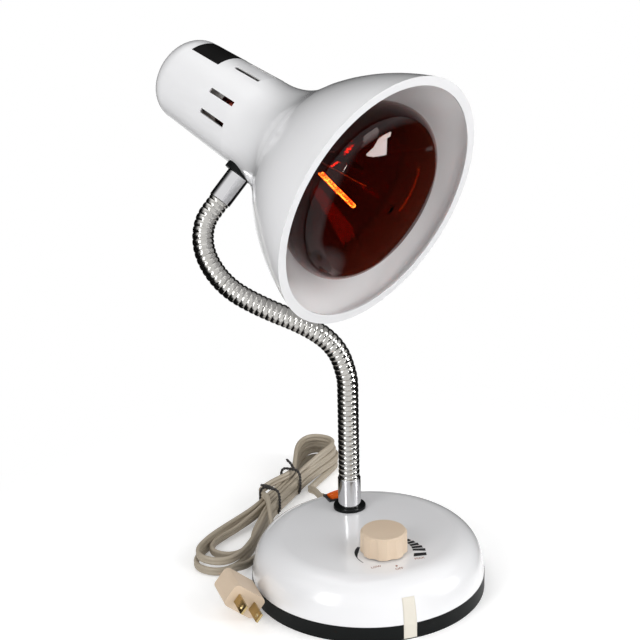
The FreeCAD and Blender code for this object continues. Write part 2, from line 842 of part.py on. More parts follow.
def tube(points, radius, bore=0.0):
    """A round tube of straight runs and tangent arcs along a route; it may have a bore."""
    solids = []
    here = points[0]
    length = 0.0
    for enter, leave, centre, bend, turn in bends(points):
        solids.append(straight_tube(here, enter, radius, bore))
        axis = enter.sub(centre).cross(leave.sub(centre)).normalize()
        section = disc(enter, axis.cross(enter.sub(centre)), radius, bore)
        solids.append(section.revolve(centre, axis, math.degrees(turn)))
        length += enter.sub(here).Length + bend * turn
        here = leave
    solids.append(straight_tube(here, points[-1], radius, bore))
    length += points[-1].sub(here).Length
    whole = solids[0].multiFuse(solids[1:]).removeSplitter() if len(solids) > 1 else solids[0]
    return whole, length


def disc(centre, direction, radius, bore):
    face = Part.Face(Part.Wire([Part.Circle(centre, direction, radius).toShape()]))
    if bore:
        face = face.cut(Part.Face(Part.Wire([Part.Circle(centre, direction, bore).toShape()])))
    return face


def straight_tube(start, end, radius, bore):
    way = end.sub(start)
    return disc(start, way, radius, bore).extrude(way)


def toward(a, b, distance):
    """The point that far from a on the way to b; a distance below zero is behind a."""
    return a.add(b.sub(a).normalize().multiply(distance))


def middle_of(a, b):
    return a.add(b).multiply(0.5)


def hose_joints():
    """Where the links meet: on the first straight run, then halfway along each later run."""
    points = hose_points()
    first = points[0].add(Vector(0, 0, first_joint_height.number))
    return [first] + [middle_of(a, b) for a, b in zip(points[1:-2], points[2:-1])]


def make_gooseneck():
    """Eight stretches of hose that meet as ball and socket, so that each can bend on the next."""
    points = hose_points()
    joints = hose_joints()
    ball = ball_radius.number
    lower_end = toward(points[0], points[1], -hose_in_ferrule.number)
    upper_end = toward(points[-1], points[-2], -hose_in_ferrule.number)
    ends = [lower_end, *joints, upper_end]
    for n, (start, end) in enumerate(zip(ends, ends[1:])):
        route = [start, end] if n == 0 else [start, points[n], end]
        bore_route = [toward(start, route[1], -ball), *route[1:-1], toward(end, route[-2], -ball)]
        shape = ball_link(route) if n else ridged_hose(route)
        if n < len(joints):
            shape = shape.cut(Part.makeSphere(ball + moving_gap.number, end))
        shape = shape.cut(tube(bore_route, hose_bore.number)[0])
        shaped(f"gooseneck_link_{n + 1}", shape)


def run_rule(start, end):
    """How a straight run goes: from a distance along it to a place and the way it points."""
    way = end.sub(start).normalize()
    return lambda distance: (start.add(Vector(way).multiply(distance)), way)


def arc_rule(enter, leave, centre, bend):
    """The same for an arc."""
    spoke = enter.sub(centre)
    axis = spoke.cross(leave.sub(centre)).normalize()

    def at(distance):
        swung = Rotation(axis, math.degrees(distance / bend)).multVec(spoke)
        return centre.add(swung), axis.cross(swung).normalize()

    return at


def places_along(points, pitch):
    """Places evenly along a route of runs and arcs, about a pitch apart, with the way it points at each."""
    parts = []
    here = points[0]
    for enter, leave, centre, bend, turn in bends(points):
        parts.append((enter.sub(here).Length, run_rule(here, enter)))
        parts.append((bend * turn, arc_rule(enter, leave, centre, bend)))
        here = leave
    parts.append((points[-1].sub(here).Length, run_rule(here, points[-1])))
    whole = sum(length for length, rule in parts)
    count = round(whole / pitch)
    places = []
    for n in range(count):
        left = (n + 0.5) * whole / count
        for length, rule in parts:
            if left <= length:
                break
            left -= length
        places.append(rule(left))
    return places


def ridged_hose(route):
    """A stretch of the wound metal hose: a ridge for each turn, and a straight throat between ridges."""
    throat = hose_radius.number - ridge_height.number
    sunk = throat - ridge_sink.number
    foot, crest = ridge_foot.number / 2, ridge_crest.number / 2
    rise = [(sunk, -foot), (hose_radius.number, -crest), (hose_radius.number, crest), (sunk, foot)]
    ridge = spun_solid([(0, -foot), *rise, (0, foot)])
    places = places_along(route, ridge_pitch.number)
    stops = [route[0], *(spot for spot, way in places), route[-1]]
    turns = [straight_tube(a, b, throat, 0) for a, b in zip(stops, stops[1:])]
    for spot, way in places:
        turn = ridge.copy()
        turn.Placement = Placement(spot, Rotation(Vector(0, 0, 1), way))
        turns.append(turn)
    return turns[0].multiFuse(turns[1:])


def ball_link(route):
    """A stretch of hose whose lower end narrows to a stalk and a ball."""
    start = route[0]
    shoulder = toward(start, route[1], ball_shoulder.number)
    way = shoulder.sub(start)
    body = ridged_hose([shoulder, *route[1:]])
    ball = Part.makeSphere(ball_radius.number, start)
    stalk = rod(ball_radius.number * 0.8, ball_shoulder.number + ball_radius.number, start, way)
    return body.multiFuse([ball, stalk])


def make_ferrule(side, foot, direction, washer_thick, clamped, seat):
    """A chrome ferrule with its rubber washer, threaded tube, lock washer and nut.

    The washer is trimmed to the face it sits on; clamped is the thickness that the nut grips.
    """
    pose = Placement(foot, Rotation(Vector(0, 0, 1), direction))
    outside = rod(washer_radius.number, 3 * washer_thick.number, Vector(0, 0, -2 * washer_thick.number))
    inside = rod(thread_radius.number + seat_gap.number, 50, Vector(0, 0, -25))
    washer = outside.cut(inside)
    washer.Placement = pose
    shaped(f"{side}_washer", washer.cut(seat))
    ferrule = new_body(f"{side}_ferrule", pose)
    top = washer_thick + ferrule_length
    floor = washer_thick + ferrule_floor
    turned(
        ferrule,
        [
            (thread_radius + seat_gap, washer_thick),
            (ferrule_radius - 0.5, washer_thick),
            (ferrule_radius, washer_thick + 0.5),
            (ferrule_radius, top - 0.4),
            (ferrule_radius - 0.35, top),
            (hose_radius + shaft_gap, top),
            (hose_radius + shaft_gap, floor),
            (thread_radius + seat_gap, floor),
        ],
    )
    washer_low = -clamped - lock_washer_thick
    nut_low = washer_low - nut_thick
    stub = new_body(f"{side}_threaded_tube", pose)
    low = nut_low - 1
    turned(stub, [(thread_bore, low), (thread_radius, low), (thread_radius, floor), (thread_bore, floor)])
    spring = pose.multiply(upward(0, 0, washer_low.number))
    ring(f"{side}_lock_washer", lock_washer_radius, thread_radius + seat_gap, lock_washer_thick, spring)
    hexagon = pose.multiply(upward(0, 0, nut_low.number))
    nut(f"{side}_nut", nut_flats, nut_thick, thread_radius + shaft_gap, hexagon)


# --- the head ---------------------------------------------------------------------------

hose_end = hose_points()[-1]
neck_surface = hose_end.sub(Vector(bracket_axis).multiply(ferrule_length.number + upper_washer_thick.number))


def make_head_pose():
    """Local Z looks out of the mouth, local X points out of the neck at the gooseneck."""
    x = bracket_axis
    z = head_axis
    y = z.cross(x)
    matrix = FreeCAD.Matrix(x.x, y.x, z.x, 0, x.y, y.y, z.y, 0, x.z, y.z, z.z, 0, 0, 0, 0, 1)
    turn = Placement(matrix).Rotation
    bracket_point = Vector(bracket_radius.number, 0, -bracket_station.number)
    return Placement(neck_surface.sub(turn.multVec(bracket_point)), turn)


def flare_radius_at(station):
    """The shade's outside radius on the flare, where the bell runs into the neck."""
    away = throat_station - station
    return throat_radius + flare_radius - root(flare_radius * flare_radius - away * away)


bracket_radius = flare_radius_at(bracket_station)
neck_front_radius = flare_radius_at(bell_length)
head_pose = make_head_pose()


def bell_points(wall):
    """The bell's corners from the mouth back to the neck, one wall further in."""
    swell_x = flare_x + bell_straight * sine(flare_angle)
    swell_z = flare_z + bell_straight * cosine(flare_angle)
    inward_x = wall * cosine(flare_angle)
    inward_z = wall * sine(flare_angle)
    mouth_z = measure(0)
    mouth_x = shade_radius
    if wall.number:
        mouth_z = -lip_thick
        mouth_x = shade_radius - wall / cosine(bell_mouth_angle) - lip_thick * sine(bell_mouth_angle)
    return [
        (mouth_x, mouth_z),
        (swell_x - inward_x, swell_z + inward_z),
        (flare_x - inward_x, flare_z + inward_z),
        (neck_front_radius - wall, -bell_length),
        (neck_back_radius - wall, -neck_end),
        (neck_back_radius - neck_round, -neck_end - neck_round + wall),
        (measure(0), -neck_end - neck_round + wall),
    ]


flare_x = throat_radius + flare_radius * (1 - cosine(flare_angle))
flare_z = flare_radius * sine(flare_angle) - throat_station


def make_shade():
    """Spun bell and neck in one, with a flat turned-in lip and pairs of slots round the neck."""
    shade = new_body("shade", head_pose)
    wall = shade_wall
    outside = [-bell_swell_radius, None, flare_radius, None, -neck_round, None, None]
    inside = [None, neck_round - wall, None, -flare_radius - wall, None, bell_swell_radius - wall, None]
    corners = with_arcs(bell_points(measure(0)), outside)
    corners += with_arcs(bell_points(wall)[::-1], inside)
    turned(shade, corners + [(mouth_radius, -lip_thick), (mouth_radius, 0)])
    drawing = sketch_on(shade, "YZ_Plane")
    circle(drawing, 0, -bracket_station, thread_radius + seat_gap)
    feature(shade, "Pocket", drawing, shade_radius, back=True)
    make_slots(shade)


def flare_solid():
    """The body within the flare's outside, by which the upper washer is trimmed."""
    front, join, back = bell_points(measure(0))[2:5]
    solid = spun_solid([(0, back[1]), (0, front[1]), (*front, flare_radius), join, back])
    solid.Placement = head_pose
    return solid


def make_slots(shade):
    """Pairs of slots evenly round the neck, but for the place that the gooseneck takes."""
    cuts = []
    for side in (-0.5, 0.5):
        drawing = sketch_on(shade, "XZ_Plane")
        rectangle(drawing, 0, -slot_middle, slot_width, slot_length)
        angle = 360 / slot_places + slot_pitch * side - 90
        drawing.AttachmentOffset = Placement(Vector(0, 0, 0), Rotation(Vector(0, 1, 0), angle.number))
        drawing.setExpression("AttachmentOffset.Rotation.Angle", angle.formula)
        cuts.append(feature(shade, "Pocket", drawing, shade_radius))
    axis = next(f for f in shade.Origin.OriginFeatures if f.Role == "Z_Axis")
    pattern = shade.newObject("PartDesign::PolarPattern", "SlotPairs")
    pattern.Originals = cuts
    pattern.Axis = (axis, [""])
    span = 360 * (slot_places - 2) / slot_places
    pattern.Angle = span.number
    pattern.setExpression("Angle", span.formula)
    pattern.Occurrences = int(slot_places.number) - 1
    pattern.setExpression("Occurrences", (slot_places - 1).formula)
    shade.Tip = pattern


def make_holder():
    """The porcelain E27 holder, its brass thread shell and contact, and the strap that carries it."""
    holder = new_body("lamp_holder", head_pose)
    turned(
        holder,
        [
            (0, -holder_back),
            (holder_radius - 2, -holder_back),
            (holder_radius, -holder_back + 2),
            (holder_radius, -holder_front - 1),
            (holder_radius - 1, -holder_front),
            (holder_mouth, -holder_front),
            (holder_mouth, -holder_front - holder_mouth_depth),
            (thread_shell_radius + seat_gap, -holder_front - holder_mouth_depth),
            (thread_shell_radius + seat_gap, -holder_floor),
            (0, -holder_floor),
        ],
    )
    pocket(holder, holder_screw_holes, -holder_back - 1, holder_screw_length)
    shell = new_body("thread_shell", head_pose)
    turned(
        shell,
        [
            (thread_shell_radius - thread_shell_wall, -holder_floor + 0.5),
            (thread_shell_radius, -holder_floor + 0.5),
            (thread_shell_radius, -holder_front - holder_mouth_depth - 1),
            (thread_shell_radius - thread_shell_wall, -holder_front - holder_mouth_depth - 1),
        ],
    )
    spring = new_body("centre_contact", head_pose)
    tip = -cap_contact - seat_gap
    turned(spring, [(0, -holder_floor), (3.6, -holder_floor), (3.2, tip), (0, tip)])
    make_strap()


def make_strap():
    """A bent strap from the back of the holder forward to the threaded tube."""
    strap = new_body("holder_strap", head_pose)
    back = holder_back
    bend = neck_back_radius - shade_wall - strap_bend_gap
    drawing = sketch_on(strap, "XZ_Plane")
    front = bracket_station - strap_width / 2
    outline(
        drawing,
        [
            (-strap_foot, -back),
            (bend - strap_thick, -back),
            (strap_outside - strap_thick, -bell_length),
            (strap_outside - strap_thick, -front),
            (strap_outside, -front),
            (strap_outside, -bell_length),
            (bend, -back - strap_thick),
            (-strap_foot, -back - strap_thick),
        ],
    )
    feature(strap, "Pad", drawing, strap_width).Midplane = True
    drill = sketch_on(strap, "YZ_Plane")
    circle(drill, 0, -bracket_station, thread_radius + seat_gap)
    feature(strap, "Pocket", drill, shade_radius, back=True)
    pocket(strap, holder_screw_holes, -back - strap_thick * 2, strap_thick * 3)
    make_holder_screws()


def holder_screw_holes(drawing):
    for side in (-1, 1):
        circle(drawing, holder_screw_offset * side, 0, holder_screw_radius + shaft_gap)


def make_holder_screws():
    low = holder_back.number + strap_thick.number
    screws = []
    for side in (-1, 1):
        x = side * holder_screw_offset.number
        head = rod(2.6, 1.8, Vector(x, 0, -low - 1.8))
        shank = rod(holder_screw_radius.number, holder_screw_length.number, Vector(x, 0, -low))
        screws.append(head.fuse(shank))
    shaped("holder_screws", Part.Compound(screws), head_pose)


def bulb_points(wall):
    """The bulb's corners from its face back to its cap, one wall further in."""
    face = face_radius - wall
    face_x = face * sine(face_angle)
    face_z = bulb_face - wall - face * (1 - cosine(face_angle))
    belt = (bulb_radius - face_radius * sine(face_angle)) / (1 - sine(face_angle))
    belt_z = face_z - (belt - wall) * cosine(face_angle)
    round_x = bulb_radius - wall - (reflector_round - wall) * (1 - cosine(reflector_angle))
    round_z = belt_z - (reflector_round - wall) * sine(reflector_angle)
    waist = reflector_waist + wall
    waist_x = bulb_neck_radius - wall + waist * (1 - cosine(reflector_angle))
    waist_z = round_z - (round_x - waist_x) * cosine(reflector_angle) / sine(reflector_angle)
    neck_z = waist_z - waist * sine(reflector_angle)
    corners = [
        (measure(0), bulb_face - wall),
        (face_x, face_z),
        (bulb_radius - wall, belt_z),
        (round_x, round_z),
        (waist_x, waist_z),
        (bulb_neck_radius - wall, neck_z),
        (bulb_neck_back_radius - wall, bulb_taper - bulb_neck_end),
        (bulb_stub_radius - wall, -bulb_neck_end),
    ]
    return corners, [-face, wall - belt, wall - reflector_round, None, waist, None, None, None]


def make_bulb():
    """A red R125 reflector bulb with an E27 cap, its stem, supports and filament."""
    glass = new_body("bulb_glass", head_pose)
    outer, radii = bulb_points(measure(0))
    corners = with_arcs(outer, radii)
    inner, radii = bulb_points(glass_wall)
    back = [None if radius is None else -radius for radius in radii[-2::-1]]
    corners += with_arcs(inner[::-1], back + [None])
    turned(glass, corners)
    cap = new_body("bulb_cap", head_pose)
    turned(
        cap,
        [
            (0, -bulb_neck_end),
            (0, -cap_contact),
            (contact_radius, -cap_contact),
            (contact_radius + 1, -cap_end - 1),
            (cap_radius - 2, -cap_end),
            (cap_radius, -cap_end + 3),
            (cap_radius, -bulb_neck_end - 3),
            (bulb_stub_radius, -bulb_neck_end),
        ],
    )
    stem = new_body("glass_stem", head_pose)
    turned(
        stem,
        [
            (0, -bulb_neck_end),
            (stem_radius, -bulb_neck_end),
            (stem_radius * 0.6, -stem_front - 18),
            (stem_radius * 0.45, -stem_front),
            (0, -stem_front),
        ],
    )
    make_filament()


def make_filament():
    """A coil across the bulb, to the side of the axis, held by two wires from the stem."""
    aside, half = -filament_offset.number, filament_half.number
    z = -filament_station.number
    ends = Vector(aside, -half, z), Vector(aside, half, z)
    coil = rod(filament_radius.number, 2 * half, ends[0], Vector(0, 1, 0))
    shaped("filament", coil, head_pose)
    wires = []
    wire = support_radius.number
    for end in ends:
        foot = Vector(0, math.copysign(support_spread.number / 2, end.y), wire - stem_front.number)
        stop = end.sub(Vector(0, 0, filament_radius.number + wire))
        way = stop.sub(foot)
        wires.append(rod(wire, way.Length, foot, way))
    shaped("filament_supports", Part.Compound(wires), head_pose)


# --- the mains cord ---------------------------------------------------------------------

cord_low = cord_width.number / 2 + 0.1
hank_left = Vector(-105, 45, 0)
hank_right = Vector(41, 202, 0)
hank_way = hank_right.sub(hank_left).normalize()
hank_across = Vector(-hank_way.y, hank_way.x, 0)
hank_turn = Rotation(Vector(1, 0, 0), hank_way)
plug_back = Vector(-94.8, 3, 15.4)


def on_hank(along, across=0.0, height=0.0):
    """A point by how far it is along the hank from its left end, how far across and how high."""
    spot = Vector(hank_left)
    spot = spot.add(Vector(hank_way).multiply(along)).add(Vector(hank_across).multiply(across))
    return spot.add(Vector(0, 0, height))


def lobe(first, last, half_width, height):
    """A round-ended stretch of the folded cord between two places along the hank."""
    start, end = on_hank(first + half_width), on_hank(last - half_width)
    way = end.sub(start)
    middle = box_about(way.Length, 2 * half_width, height, Placement(middle_of(start, end), hank_turn))
    return middle.multiFuse([rod(half_width, height, start), rod(half_width, height, end)])


def make_cord():
    """The lead from the gland, the hank it is folded into, the lead to the plug, and the plug."""
    exit_point = gland_mouth(gland_nose.number)
    lead = [
        exit_point.sub(Vector(0, 14, 0)),
        exit_point.add(Vector(0, 11, 0)),
        exit_point.add(Vector(-1, 27, -5)),
        exit_point.add(Vector(4, 40, -12)),
        exit_point.add(Vector(12, 52, -14.4)),
        exit_point.add(Vector(22, 62, -14.4)),
    ]
    plug_lead = [
        plug_back,
        plug_back.add(Vector(0.5, 16, 0)),
        on_hank(7, -21, 9.5),
        on_hank(20, -22, 4.2),
        on_hank(34, -23, cord_low),
        on_hank(47, -22.8, cord_low),
        on_hank(60, -21, cord_low),
        on_hank(76, -12, cord_low),
        on_hank(90, -4, cord_low),
    ]
    waist_height = 15
    waist_half = 9.5
    near = lobe(0, 72, 18, 13)
    waist = lobe(40, 180, waist_half, waist_height)
    far = lobe(148, 212, 14, 30)
    hank = near.multiFuse([waist, far]).removeSplitter()
    shaped("cord_hank", hank)
    for label, route in (("cord_lead", lead), ("cord_plug_lead", plug_lead)):
        shape, length = tube(route, cord_width.number / 2)
        fill = shape.Volume / (math.pi * (cord_width.number / 2) ** 2 * length)
        radii = [round(bend[3], 1) for bend in bends(route)]
        print(label, "length", round(length, 1), "fill", round(fill, 4), "radii", radii)
        shaped(label, shape.cut(hank))
    tie = tie_thick.number
    ties = []
    for along in (104, 140):
        pose = Placement(on_hank(along), hank_turn)
        ties.append(box_about(2.4, 2 * (waist_half + tie), waist_height + tie, pose).cut(hank))
    shaped("cord_ties", Part.Compound(ties))
    make_plug()


def make_plug():
    """A two-blade plug that leans on one corner of its face."""
    turn = Rotation(Vector(1, 0, 0), 90).multiply(Rotation(Vector(0, 0, 1), -plug_roll.number))
    pose = Placement(plug_back.sub(Vector(0, plug_length.number, 0)), turn)
    plug = new_body("plug_body", pose)
    block_pad = pad(plug, lambda s: rectangle(s, 0, 0, plug_width, plug_thick), -plug_length, plug_length)
    doc.recompute()
    edges = [f"Edge{n + 1}" for n, edge in enumerate(block_pad.Shape.Edges) if is_along(edge, 1)]
    corners = plug.newObject("PartDesign::Fillet", "Corners")
    corners.Base = (block_pad, edges)
    corners.Radius = plug_corner.number
    corners.setExpression("Radius", plug_corner.formula)
    pocket(plug, lambda s: circle(s, 0, 0, cord_width / 2 + shaft_gap), -plug_length - 1, 8)
    blades = []
    for x in (-blade_pitch.number / 2, blade_pitch.number / 2):
        blade = box_about(blade_thick.number, blade_width.number, blade_length.number, upward(x, 0, 0))
        hole = rod(1.6, 10, Vector(x - 5, 0, blade_length.number - 4), Vector(1, 0, 0))
        blades.append(blade.cut(hole))
    shaped("plug_blades", Part.Compound(blades), pose)


def is_along(edge, length):
    """Whether an edge runs along the body's Z axis, in the body's own frame."""
    ends = [v.Point for v in edge.Vertexes]
    if len(ends) < 2:
        return False
    way = ends[1].sub(ends[0])
    return abs(way.x) < 1e-6 and abs(way.y) < 1e-6 and abs(way.z) > length


make_shell()
make_rim()
make_bottom()
make_dimmer()
make_switch()
make_terminal_block()
make_gland()
make_ferrule("lower", arm_foot, Vector(0, 0, 1), lower_washer_thick, dome_wall + seat_gap * 2, dome_solid())
make_gooseneck()
upper_clamped = bracket_radius - strap_outside + strap_thick
make_ferrule("upper", neck_surface, Vector(bracket_axis), upper_washer_thick, upper_clamped, flare_solid())
make_shade()
make_holder()
make_bulb()
make_cord()
doc.recompute()

faults = []
for item in doc.Objects:
    if "Invalid" in item.State or "Error" in item.State:
        faults.append(f"{item.Name} ({item.Label}) {item.State}")
for piece in pieces:
    if piece.Shape.isNull() or not piece.Shape.isValid():
        faults.append(f"{piece.Label} has no valid shape")
if faults:
    raise SystemExit("\n".join(faults))

os.makedirs("parts", exist_ok=True)
for piece in pieces:
    piece.Shape.exportStep(f"parts/{piece.Label}.step")
print(len(pieces), "pieces")
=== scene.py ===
import json
import math

import bmesh
import bpy
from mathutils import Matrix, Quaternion, Vector
from mathutils.bvhtree import BVHTree


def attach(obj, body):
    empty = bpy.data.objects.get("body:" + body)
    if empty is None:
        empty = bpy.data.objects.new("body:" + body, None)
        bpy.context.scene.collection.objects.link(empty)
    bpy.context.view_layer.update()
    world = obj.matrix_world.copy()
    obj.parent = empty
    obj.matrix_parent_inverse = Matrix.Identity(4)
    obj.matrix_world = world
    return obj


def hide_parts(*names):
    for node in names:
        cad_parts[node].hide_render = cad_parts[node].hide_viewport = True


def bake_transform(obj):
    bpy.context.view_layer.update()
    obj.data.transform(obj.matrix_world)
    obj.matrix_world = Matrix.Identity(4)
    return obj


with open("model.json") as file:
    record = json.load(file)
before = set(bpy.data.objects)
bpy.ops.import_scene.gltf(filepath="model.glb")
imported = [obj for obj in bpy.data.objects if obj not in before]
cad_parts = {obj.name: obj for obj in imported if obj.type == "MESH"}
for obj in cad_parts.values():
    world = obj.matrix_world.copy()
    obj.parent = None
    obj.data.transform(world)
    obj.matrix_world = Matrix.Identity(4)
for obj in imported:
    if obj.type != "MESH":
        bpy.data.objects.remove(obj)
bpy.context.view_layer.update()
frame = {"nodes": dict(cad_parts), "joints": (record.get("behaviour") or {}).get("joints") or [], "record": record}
scene = bpy.context.scene
parts = frame["nodes"]
mm = 0.001  # lengths below are in millimetres where they carry this factor


class Wire:  # one output socket, which sums, products and comparisons take as it is
    def __init__(self, graph, socket):
        self.graph = graph
        self.socket = socket

    def math(self, operation, *others):
        return self.graph.add("ShaderNodeMath", {"operation": operation}, dict(enumerate((self, *others))))

    def __add__(self, other):
        return self.math("ADD", other)

    def __sub__(self, other):
        return self.math("SUBTRACT", other)

    def __mul__(self, other):
        return self.math("MULTIPLY", other)

    def __truediv__(self, other):
        return self.math("DIVIDE", other)

    def __pow__(self, other):
        return self.math("POWER", other)

    def __gt__(self, other):
        return self.math("GREATER_THAN", other)

    def __lt__(self, other):
        return self.math("LESS_THAN", other)


nodeGrid = {"right": 180, "down": 60, "rows": 5}  # how new nodes are laid out in their editor


class Graph:  # a node tree that grows by one call
    def __init__(self, tree):
        self.tree = tree

    def add(self, kind, settings=None, sockets=None, out=0):
        node = self.tree.nodes.new(kind)
        count = len(self.tree.nodes)
        node.location = (nodeGrid["right"] * count, -nodeGrid["down"] * (count % nodeGrid["rows"]))
        for name, value in (settings or {}).items():
            setattr(node, name, value)
        for key, value in (sockets or {}).items():
            if isinstance(value, Wire):
                self.tree.links.new(value.socket, node.inputs[key])
            else:
                node.inputs[key].default_value = value
        return Wire(self, node.outputs[out])

    def place(self):
        return self.add("ShaderNodeTexCoord", out="Object")

    def noise(self, scale, detail=3.0, roughness=0.5, where=None):
        sockets = {"Vector": where or self.place(), "Scale": scale, "Detail": detail, "Roughness": roughness}
        return self.add("ShaderNodeTexNoise", {}, sockets, "Fac")

    def between(self, value, low, high, first=0.0, last=1.0):  # a smooth step that is clamped
        sockets = {"Value": value, "From Min": low, "From Max": high, "To Min": first, "To Max": last}
        return self.add("ShaderNodeMapRange", {"interpolation_type": "SMOOTHSTEP"}, sockets)

    def colors(self, share, first, last):  # each is a wire or (red, green, blue)
        first, last = [color if isinstance(color, Wire) else (*color, 1) for color in (first, last)]
        return self.add("ShaderNodeMix", {"data_type": "RGBA"}, {0: share, 6: first, 7: last}, 2)

    def mixed(self, share, first, last):  # two surfaces
        return self.add("ShaderNodeMixShader", {}, {0: share, 1: first, 2: last})

    def bump(self, height, strength, distance):
        return self.add("ShaderNodeBump", {}, {"Height": height, "Strength": strength, "Distance": distance})

    def surface(self, **sockets):
        named = {name.replace("_", " "): value for name, value in sockets.items()}
        return self.add("ShaderNodeBsdfPrincipled", {}, named)

    def vector(self, operation, first, second, out=0):
        return self.add("ShaderNodeVectorMath", {"operation": operation}, {0: first, 1: second}, out)

    def scaled(self, way, amount):
        return self.add("ShaderNodeVectorMath", {"operation": "SCALE"}, {0: way, "Scale": amount})

    def dot(self, first, second):
        return self.vector("DOT_PRODUCT", first, second, "Value")

    def offset(self, point):  # from point to each place on the surface
        return self.vector("SUBTRACT", self.place(), point)

    def circle(self, sides, radius):
        return self.add("GeometryNodeCurvePrimitiveCircle", {}, {"Resolution": sides, "Radius": radius})

    def pipe(self, line, outline, **sockets):  # outline drawn along line, with its ends shut
        run = {"Curve": line, "Profile Curve": outline, "Fill Caps": True, **sockets}
        return self.add("GeometryNodeCurveToMesh", {}, run)


def finish(name, build):  # a material round the surface that build returns
    material = bpy.data.materials.new(name)
    material.use_nodes = True
    material.node_tree.nodes.clear()
    graph = Graph(material.node_tree)
    leave = material.node_tree.nodes.new("ShaderNodeOutputMaterial")
    material.node_tree.links.new(build(graph).socket, leave.inputs["Surface"])
    return material


def newTree(name, sizes):  # a Geometry Nodes tree with named sizes, and the wires that carry them
    tree = bpy.data.node_groups.new(name, "GeometryNodeTree")
    tree.interface.new_socket("Geometry", in_out="INPUT", socket_type="NodeSocketGeometry")
    for label, value in sizes.items():
        kind = "NodeSocketInt" if isinstance(value, int) else "NodeSocketFloat"
        tree.interface.new_socket(label, in_out="INPUT", socket_type=kind).default_value = value
    tree.interface.new_socket("Geometry", in_out="OUTPUT", socket_type="NodeSocketGeometry")
    graph = Graph(tree)
    entry = tree.nodes.new("NodeGroupInput")
    return graph, {socket.name: Wire(graph, socket) for socket in entry.outputs if socket.name}


def closeTree(graph, shape, material):
    real = graph.add("GeometryNodeRealizeInstances", {}, {"Geometry": shape})
    painted = graph.add("GeometryNodeSetMaterial", {}, {"Geometry": real, "Material": material})
    leave = graph.tree.nodes.new("NodeGroupOutput")
    graph.tree.links.new(painted.socket, leave.inputs["Geometry"])
    return graph.tree


def addObject(name, data):
    made = bpy.data.objects.new(name, data)
    scene.collection.objects.link(made)
    return made


def takeMesh(carrier):  # the plain mesh that a curve or a modifier makes; its object goes
    mesh = bpy.data.meshes.new_from_object(carrier.evaluated_get(bpy.context.evaluated_depsgraph_get()))
    bpy.data.objects.remove(carrier)
    return mesh


def grow(name, seed, tree, values=None):  # the piece that a tree makes from a seed mesh
    carrier = addObject(name + "Seed", seed)
    modifier = carrier.modifiers.new(tree.name, "NODES")
    modifier.node_group = tree
    for item in tree.interface.items_tree:
        if item.in_out == "INPUT" and item.name in (values or {}):
            modifier[item.identifier] = values[item.name]
    return addObject(name, takeMesh(carrier))


def lineMesh(name, points):
    mesh = bpy.data.meshes.new(name)
    mesh.from_pydata(points, [(k, k + 1) for k in range(len(points) - 1)], [])
    return mesh


def ringMesh(name, rings, material):  # a skin over rings of points, with its ends shut
    count = len(rings[0])
    faces = []
    for low in range(0, (len(rings) - 1) * count, count):
        high = low + count
        for i in range(count):
            j = (i + 1) % count
            faces.append((low + i, low + j, high + j, high + i))
    faces.append(tuple(range(count)))
    faces.append(tuple(range(len(rings) * count - 1, (len(rings) - 1) * count - 1, -1)))
    mesh = bpy.data.meshes.new(name)
    mesh.from_pydata([point for ring in rings for point in ring], [], faces)
    return finishMesh(mesh, material)


weldReach = 1e-7  # metres: closer points than this become one


def finishMesh(mesh, material, smooth=True):
    shell = bmesh.new()
    shell.from_mesh(mesh)
    bmesh.ops.remove_doubles(shell, verts=shell.verts, dist=weldReach)
    bmesh.ops.recalc_face_normals(shell, faces=shell.faces)
    for face in shell.faces:
        face.smooth = smooth
    shell.to_mesh(mesh)
    shell.free()
    mesh.materials.append(material)
    return mesh


def splinePoints(name, controls, steps):  # the points of a smooth line that these points steer
    curve = bpy.data.curves.new(name, "CURVE")
    curve.dimensions = "3D"
    curve.resolution_u = steps
    spline = curve.splines.new("NURBS")
    spline.points.add(len(controls) - 1)
    for point, place in zip(spline.points, controls):
        point.co = (*place, 1)
    spline.order_u = 3
    spline.use_endpoint_u = True
    mesh = takeMesh(addObject(name, curve))
    line = [vertex.co.copy() for vertex in mesh.vertices]
    bpy.data.meshes.remove(mesh)
    return line


def blendOf(pair, share):
    return pair[0] + (pair[1] - pair[0]) * share


def levelWay(angle):  # a unit step that many radians round from +X
    return Vector((math.cos(angle), math.sin(angle), 0))


def tangents(line):
    ways = []
    for k in range(len(line)):
        ways.append((line[min(k + 1, len(line) - 1)] - line[max(k - 1, 0)]).normalized())
    return ways


def lengthOf(line):
    return sum((b - a).length for a, b in zip(line, line[1:]))


def joinMeshes(name, meshes):
    shell = bmesh.new()
    for mesh in meshes:
        shell.from_mesh(mesh)
    joined = bpy.data.meshes.new(name)
    shell.to_mesh(joined)
    shell.free()
    return joined


cameraSet = {
    "place": (-0.34333, -0.96863, 0.57677),
    "looks": (0.2878, 0.8918, -0.3492),
    "roll": -1.30,  # degrees
    "lens": 94.655,
    "sensor": 36,
}


def makeCamera():
    data = bpy.data.cameras.new("camera")
    data.lens, data.sensor_width = cameraSet["lens"], cameraSet["sensor"]
    camera = addObject("camera", data)
    camera.location = cameraSet["place"]
    camera.rotation_mode = "QUATERNION"
    level = Vector(cameraSet["looks"]).to_track_quat("-Z", "Y")
    camera.rotation_quaternion = level @ Quaternion((0, 0, 1), math.radians(cameraSet["roll"]))
    scene.camera = camera


makeCamera()
print("camera placed")


